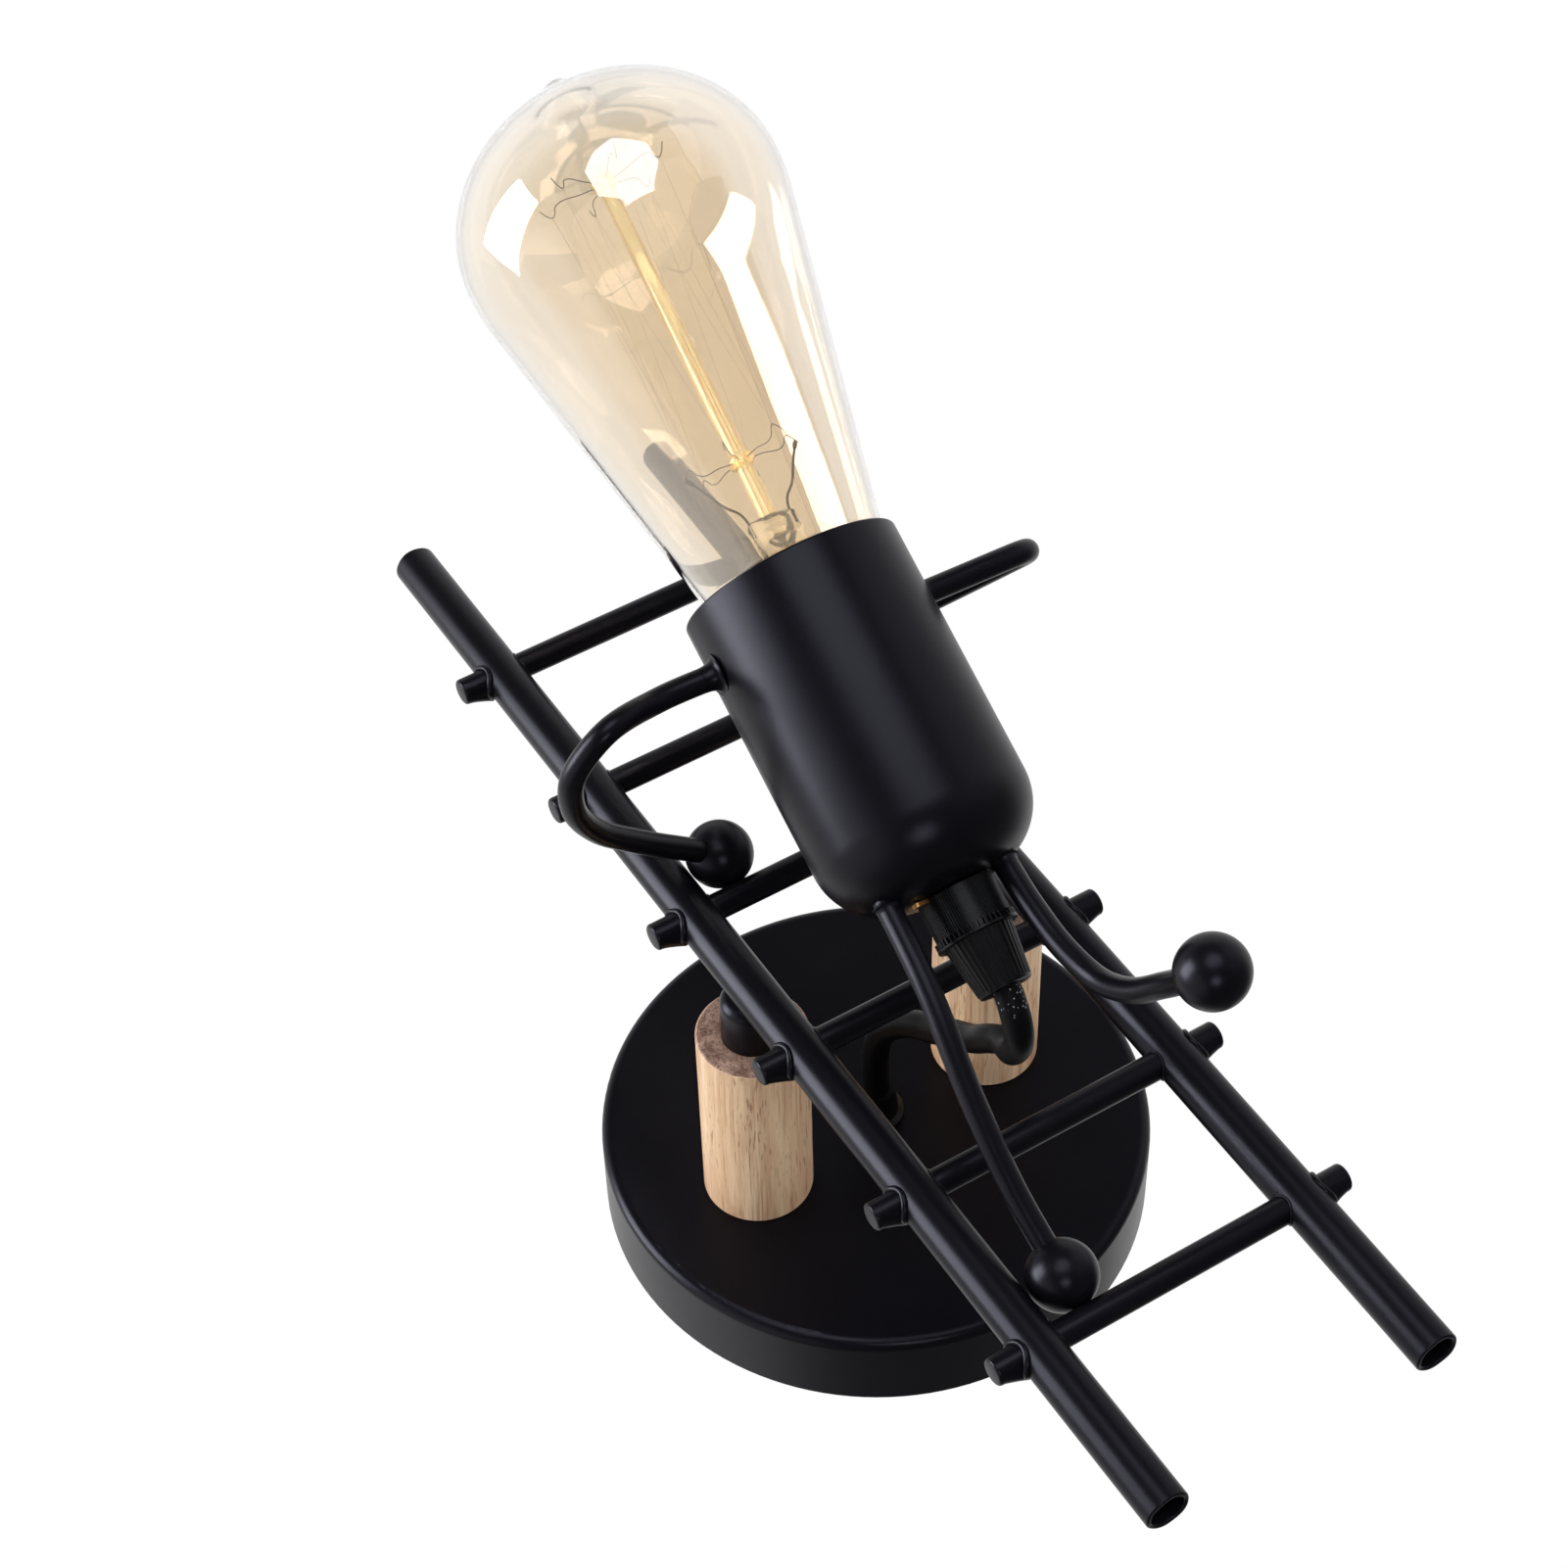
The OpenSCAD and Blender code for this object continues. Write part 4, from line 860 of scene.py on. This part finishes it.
# Brass washer under the cup, with a tab that shows beside the left leg
WASHER_HOLE_R = 5.0
WASHER_SKIN = 0.1
WASHER_EDGE = 0.15
TAB_ANGLE = 199
TAB_W = 1.8
TAB_BOTTOM, TAB_TOP = -0.9, -0.15
washer_r = cap_r - 0.75
washer_outline = [(WASHER_HOLE_R, -WASHER_SKIN), (washer_r - WASHER_EDGE, -WASHER_SKIN),
                  (washer_r, -WASHER_SKIN - WASHER_EDGE), (washer_r, -WASHER_T + WASHER_SKIN + WASHER_EDGE),
                  (washer_r - WASHER_EDGE, -WASHER_T + WASHER_SKIN), (WASHER_HOLE_R, -WASHER_T + WASHER_SKIN)]
washer = solid(*lathe_mesh(washer_outline, 72, TORSO))
tab_outline = [(5.5, -1), (9.7, -1), (10.1, -0.7), (10.1, 0.7), (9.7, 1), (5.5, 1)]
tab = prism(*([(r, w * TAB_W / 2, z) for r, w in tab_outline] for z in (TAB_BOTTOM, TAB_TOP)))
tab = placed(solid(*tab), TORSO @ turned("Z", TAB_ANGLE))
assembled("brass_washer_and_tab", [washer, tab], brass, "root", ["brass_washer"], 30)

# Bulb's glass: neck, cone, shoulder and dome with its sealed tip, as outer and inner wall
NECK_END = 20
CONE_END = 102.94
SHOULDER_U = 111
DOME_R = 32.2
DOME_H = 28
SHOULDER_K = 0.01255
GLASS_T = 0.9
PIP_H = 3.8
PIP_R = 4.3
PIP_INSIDE_H = 3.3
PIP_INSIDE_R = 3.8
NECK_R = 11.5
CONE_FOOT = Vector((17.6, 34.8))
neck = curve([(NECK_R, 26.1), (12.7, 27), (14.0, 28.8), (15.7, 31.9), CONE_FOOT], 0.8)
glass_outer = [(NECK_R, NECK_END)] + [tuple(p) for p in neck]
cone_steps, shoulder_steps, dome_steps = 40, 10, 72
cone_top = Vector((DOME_R - SHOULDER_K * (SHOULDER_U - CONE_END) ** 2, CONE_END))
glass_outer += [tuple(CONE_FOOT.lerp(cone_top, k / cone_steps)) for k in range(1, cone_steps + 1)]
for k in range(1, shoulder_steps + 1):
    u = CONE_END + (SHOULDER_U - CONE_END) * k / shoulder_steps
    glass_outer.append((DOME_R - SHOULDER_K * (SHOULDER_U - u) ** 2, u))
dome = [(DOME_R * math.cos(a), DOME_H * math.sin(a))
        for a in [math.pi / 2 * (1 - (1 - k / dome_steps) ** 1.15) for k in range(1, dome_steps + 1)]]
dome[-1] = (0.0, DOME_H)


def thinned(outline):
    """The outline moved inwards by the glass's thickness."""
    moved = []
    for i, (r, u) in enumerate(outline):
        a, b = outline[max(i - 1, 0)], outline[min(i + 1, len(outline) - 1)]
        dr, du = b[0] - a[0], b[1] - a[1]
        length = math.hypot(dr, du)
        moved.append((max(0.0, r - GLASS_T * du / length), u + GLASS_T * dr / length))
    return moved


def with_pip(outline, height, radius):
    return [(r, u + height * math.exp(-(r / radius) ** 3)) for r, u in outline]


dome = [(r, SHOULDER_U + h) for r, h in dome]
inner = with_pip(thinned(glass_outer + dome), PIP_INSIDE_H, PIP_INSIDE_R)
inner[-1] = (0.0, SHOULDER_U + DOME_H - GLASS_T + PIP_INSIDE_H)
outer = glass_outer + with_pip(dome, PIP_H, PIP_R)
vertices, faces = lathe_mesh(outer + inner[::-1], 192, BULB)
new_piece("amber_bulb_glass", vertices, faces, amber_glass, "bulb", ["bulb_glass"], 0)

# Stem of the bulb: a flared tube pressed flat at its end
PRESS_U = 43
PRESS_TOP = 47
PRESS_HALF_W = 5.0
PRESS_HALF_T = 2.0
STEM_SIDES = 64
STEM_R = 4.3
stem_profile = [(10.0, NECK_END + 0.9, 0), (6.3, 26, 0), (4.8, 31, 0), (STEM_R, 36, 0), (STEM_R, 38, 0),
                (STEM_R, PRESS_U - 2.5, 0.35), (STEM_R, PRESS_U - 1, 0.8), (STEM_R, PRESS_U, 1),
                (STEM_R, PRESS_TOP - 1.2, 1), (4.1, PRESS_TOP - 0.5, 1), (3.6, PRESS_TOP - 0.1, 1),
                (2.6, PRESS_TOP, 1)]
vertices = []
for r, u, flat in stem_profile:
    shrink = r / STEM_R if flat else 1
    for k in range(STEM_SIDES):
        a = 2 * math.pi * k / STEM_SIDES
        c, d = math.cos(a), math.sin(a)
        squared = (abs(c) ** 4 + abs(d) ** 4) ** -0.25
        x = (1 - flat) * r * c + flat * PRESS_HALF_W * shrink * squared * c
        y = (1 - flat) * r * d + flat * PRESS_HALF_T * shrink * squared * d
        vertices.append((x, y, u))
faces = skin(len(stem_profile), STEM_SIDES)
for row in (0, len(stem_profile) - 1):
    vertices.append((0, 0, stem_profile[row][1]))
    for k in range(STEM_SIDES):
        faces.append([row * STEM_SIDES + k, row * STEM_SIDES + (k + 1) % STEM_SIDES, len(vertices) - 1])
stem = placed(solid(vertices, faces), BULB)
assembled("glass_stem_and_press", [stem], clear_glass, "bulb", ["glass_stem"], 50)

# Glass rod and its two beads
LOW_HUB_U = 59
HIGH_HUB_U = 120
HUB_R = 2.7
HUB_HALF = 1.5
HUB_CORE_R = 1.6
SUPPORT_R = 1.7
rod_outline = [(0.0, PRESS_TOP + 0.1), (SUPPORT_R, PRESS_TOP + 0.1), (SUPPORT_R, HIGH_HUB_U + 1.2),
               (SUPPORT_R * 0.7, HIGH_HUB_U + 1.8), (0.0, HIGH_HUB_U + 2)]
rod_mesh = solid(*lathe_mesh(rod_outline, 48, BULB))
beads = []
for u in (LOW_HUB_U, HIGH_HUB_U):
    ring = [(HUB_CORE_R + (HUB_R - HUB_CORE_R) * c, u + HUB_HALF * d) for c, d in arc((0, 0), 1, -0.5, 0.5, 14)]
    beads.append(solid(*lathe_mesh(ring, 48, BULB)))
assembled("support_rod_and_beads", [rod_mesh] + beads, golden_glass, "bulb", ["support_rod"], 60)

# Hooks in the beads, and the filament's strands from hook to hook
HOOKS = 6
HOOK_WIRE = 0.2
LOW_HOOK = [(1.7, 0), (4.5, 0.1), (8.3, -0.2), (9.0, 0.2), (9.9, 1.6), (10.3, 1.8), (10.7, 1.4), (12.0, -0.5)]
HIGH_HOOK = [(1.7, 0), (5.0, 0.4), (9.6, 1.1), (10.3, 0.9), (11.3, -0.7), (11.8, -0.9), (12.3, -0.5), (13.5, 1.5)]
hook_meshes = []
for path, hub_u, phase in ((LOW_HOOK, LOW_HUB_U, 0), (HIGH_HOOK, HIGH_HUB_U, 180 / HOOKS)):
    line = curve([(r, 0, hub_u + u) for r, u in path], 0.35)
    hook = repeated(solid(*tube_mesh(line, HOOK_WIRE / 2, 8)), lamp_wire, HOOKS, turn=2 * math.pi / HOOKS)
    hook_meshes.append(placed(hook, BULB @ turned("Z", phase)))
assembled("wire_hooks", hook_meshes, lamp_wire, "bulb", ["support_hooks"], 60)

STRAND_D = 0.05
STRAND_BOW = 0.5
STRAND_STEPS = 12
LOW_CATCH = (10.3, 1.7)
HIGH_CATCH = (11.8, -0.8)
strands = []
for turn in (-1, 1):
    reach = math.pi / HOOKS * turn
    low = Vector((LOW_CATCH[0], 0, LOW_HUB_U + LOW_CATCH[1]))
    high = Vector((HIGH_CATCH[0] * math.cos(reach), HIGH_CATCH[0] * math.sin(reach), HIGH_HUB_U + HIGH_CATCH[1]))
    line = [low.lerp(high, k / STRAND_STEPS) - Vector((STRAND_BOW * math.sin(math.pi * k / STRAND_STEPS), 0, 0))
            for k in range(STRAND_STEPS + 1)]
    copies = HOOKS - (1 if turn > 0 else 0)
    strand = repeated(solid(*tube_mesh(line, STRAND_D / 2, 6)), lamp_wire, copies, turn=2 * math.pi / HOOKS)
    strands.append(placed(strand, BULB))
assembled("filament_strands", strands, filament_wire, "bulb", ["filament"], 60)

# Lead wires from the press to a hook on each side, each with its clamp
LEAD_WIRE = 0.5
LEAD_PATH = [(4.1, PRESS_TOP - 3), (4.2, PRESS_TOP - 0.4), (4.9, PRESS_TOP + 2.3), (7.0, PRESS_TOP + 4.6),
             (9.4, LOW_HUB_U - 3.2), (11.2, LOW_HUB_U - 0.3)]
CLAMP_STOPS = (-1.1, -0.9, 0.3, 0.6)
CLAMP_R, CLAMP_END_R = 0.45, 0.25
leads = []
for side in (-1, 1):
    line = curve([(side * r, 0, u) for r, u in LEAD_PATH], 0.6)
    leads.append(placed(solid(*tube_mesh(line, LEAD_WIRE / 2, 12)), BULB))
    clamp = [line[-1] + (line[-1] - line[-3]).normalized() * t for t in CLAMP_STOPS]
    leads.append(placed(solid(*tube_mesh(clamp, lambda way: CLAMP_R if 0 < way < 1 else CLAMP_END_R, 12)), BULB))
assembled("lead_wires_and_clamps", leads, lamp_wire, "bulb", ["lead_wires"], 50)

# World: white to the camera and through glass; in gloss white behind the lamp, dark on the room's side and below
ROOM_SIDE = (-0.474, -0.801, -0.365)
LEFT_SIDE = (-0.926, 0.041, -0.138)
AMBIENT = 0.4
ROOM_IN_GLOSS = 0.12
BACK_IN_GLOSS = 0.93
LEFT_IN_GLOSS = 0.88
ROOM_FADE = (-0.05, 0.2)
DOWN_FADE = (0.0, 0.35)
LEFT_FADE = (0.76, 0.88)


def facing(t, direction, side):
    """How nearly a direction is that of a side, from -1 to 1."""
    return t.node("ShaderNodeVectorMath", {"operation": "DOT_PRODUCT"}, {0: direction, 1: side}, "Value")


def seen_plainly(t):
    """1 for what the camera sees, by itself or through glass."""
    return t.node("ShaderNodeLightPath", output="Is Camera Ray").math(
        "MAXIMUM", t.node("ShaderNodeLightPath", output="Is Transmission Ray"))


world = bpy.data.worlds.new("studio")
scene.world = world
world.use_nodes = True
w = Tree(world.node_tree)
direction = w.node("ShaderNodeTexCoord", output="Generated")
down = w.node("ShaderNodeSeparateXYZ", {}, {"Vector": direction}, "Z") * -1
room = w.between(facing(w, direction, ROOM_SIDE), *ROOM_FADE).math("MAXIMUM", w.between(down, *DOWN_FADE))
dark = ROOM_IN_GLOSS + LEFT_IN_GLOSS * w.between(facing(w, direction, LEFT_SIDE), *LEFT_FADE)
gloss = w.node("ShaderNodeLightPath", output="Is Glossy Ray")
in_gloss = gloss * (BACK_IN_GLOSS - (BACK_IN_GLOSS - dark) * room)
seen = seen_plainly(w)
other = 1 - seen.math("MAXIMUM", gloss)
strength = (seen + in_gloss).math("MINIMUM", 1.0) + AMBIENT * other
sky = w.node("ShaderNodeBackground", {}, {"Color": (1, 1, 1, 1), "Strength": strength})
w.node("ShaderNodeOutputWorld", {}, {"Surface": sky})

# Floor, in metres: shown paler than its light makes it, and fading into the white room with the distance
FLOOR_Z = -1.75
FLOOR_HALF = 7.0
FLOOR_GLOW = 0.36
FLOOR_FADE = (2.0, 3.8)


def floor_build(t):
    away = t.node("ShaderNodeVectorMath", {"operation": "LENGTH"}, {0: t.point()}, "Value")
    glow = FLOOR_GLOW + (1 - FLOOR_GLOW) * t.between(away, *FLOOR_FADE)
    return {"Base Color": t.mixed(t.noise(t.point(), 4, 2), (0.86, 0.86, 0.86), (0.9, 0.9, 0.9)),
            "Roughness": 0.9, "Emission Color": t.mixed(seen_plainly(t) * glow, (0, 0, 0), (1, 1, 1))}


def panel(name, corners, material):
    """A flat stage piece through its corners, in metres."""
    mesh = bpy.data.meshes.new(name)
    mesh.from_pydata(corners, [], [tuple(range(len(corners)))])
    mesh.materials.append(material)
    made = bpy.data.objects.new(name, mesh)
    scene.collection.objects.link(made)
    return made


floor_corners = [(x * FLOOR_HALF, y * FLOOR_HALF, FLOOR_Z) for x, y in ((-1, -1), (1, -1), (1, 1), (-1, 1))]
pale_floor = finish_material("pale_floor", floor_build, **{"Emission Strength": 1.0})
floor = panel("floor", floor_corners, pale_floor)
floor.visible_glossy = False

# Softboxes: flat panels whose corners lie in the directions in which the photo's highlights show them
LIGHT_TONE = (0.94, 0.95, 1.0, 1)
LIT_MIDDLE = Vector((0.004, -0.176, 0.1))
BOX_REACH = 2.0


def softbox(name, corners, strength, in_gloss, reach=BOX_REACH):
    """A panel that lights at one strength, and shows in gloss and through glass at another."""
    sides = [Vector(c).normalized() for c in corners]
    aim = sum(sides, Vector()).normalized()
    material = bpy.data.materials.new(name)
    material.use_nodes = True
    t = Tree(material.node_tree)
    gloss = t.node("ShaderNodeLightPath", output="Is Glossy Ray")
    mirrored = gloss.math("MAXIMUM", t.node("ShaderNodeLightPath", output="Is Transmission Ray"))
    shown = strength + (in_gloss - strength) * mirrored
    glow = t.node("ShaderNodeEmission", {}, {"Color": LIGHT_TONE, "Strength": shown})
    t.node("ShaderNodeOutputMaterial", {}, {"Surface": glow})
    box = panel(name, [LIT_MIDDLE + side * reach / side.dot(aim) for side in sides], material)
    box.visible_camera = False
    box.visible_shadow = False


softbox("softbox_front", [(-0.426, -0.905, -0.012), (-0.231, -0.961, 0.152), (0.017, -0.978, 0.206),
                          (0.282, -0.956, -0.077), (0.301, -0.917, -0.263), (0.121, -0.884, -0.452),
                          (-0.239, -0.868, -0.435), (-0.454, -0.849, -0.269)], strength=2.6, in_gloss=3.4)
softbox("softbox_left", [(-0.648, -0.430, 0.628), (-0.835, -0.513, 0.200), (-0.956, 0.172, 0.238),
                         (-0.734, 0.261, 0.627)], strength=9.5, in_gloss=14.0)
softbox("softbox_right", [(0.354, -0.823, -0.444), (0.8, -0.54, -0.262), (0.967, -0.242, -0.078),
                          (0.85, -0.15, -0.55), (0.30, -0.60, -0.75)], strength=2.4, in_gloss=0.5)
softbox("softbox_above", [(0.671, -0.591, -0.447), (0.59, -0.768, -0.25), (0.557, -0.819, 0.138),
                          (0.734, -0.421, 0.533), (0.958, -0.237, 0.163), (0.974, -0.102, -0.2)],
        strength=0.5, in_gloss=0.85)
softbox("softbox_below", [(-0.39, -0.16, -0.91), (-0.19, -0.16, -0.97), (-0.19, -0.35, -0.92),
                          (-0.39, -0.35, -0.86)], strength=0.8, in_gloss=8.0, reach=0.55)
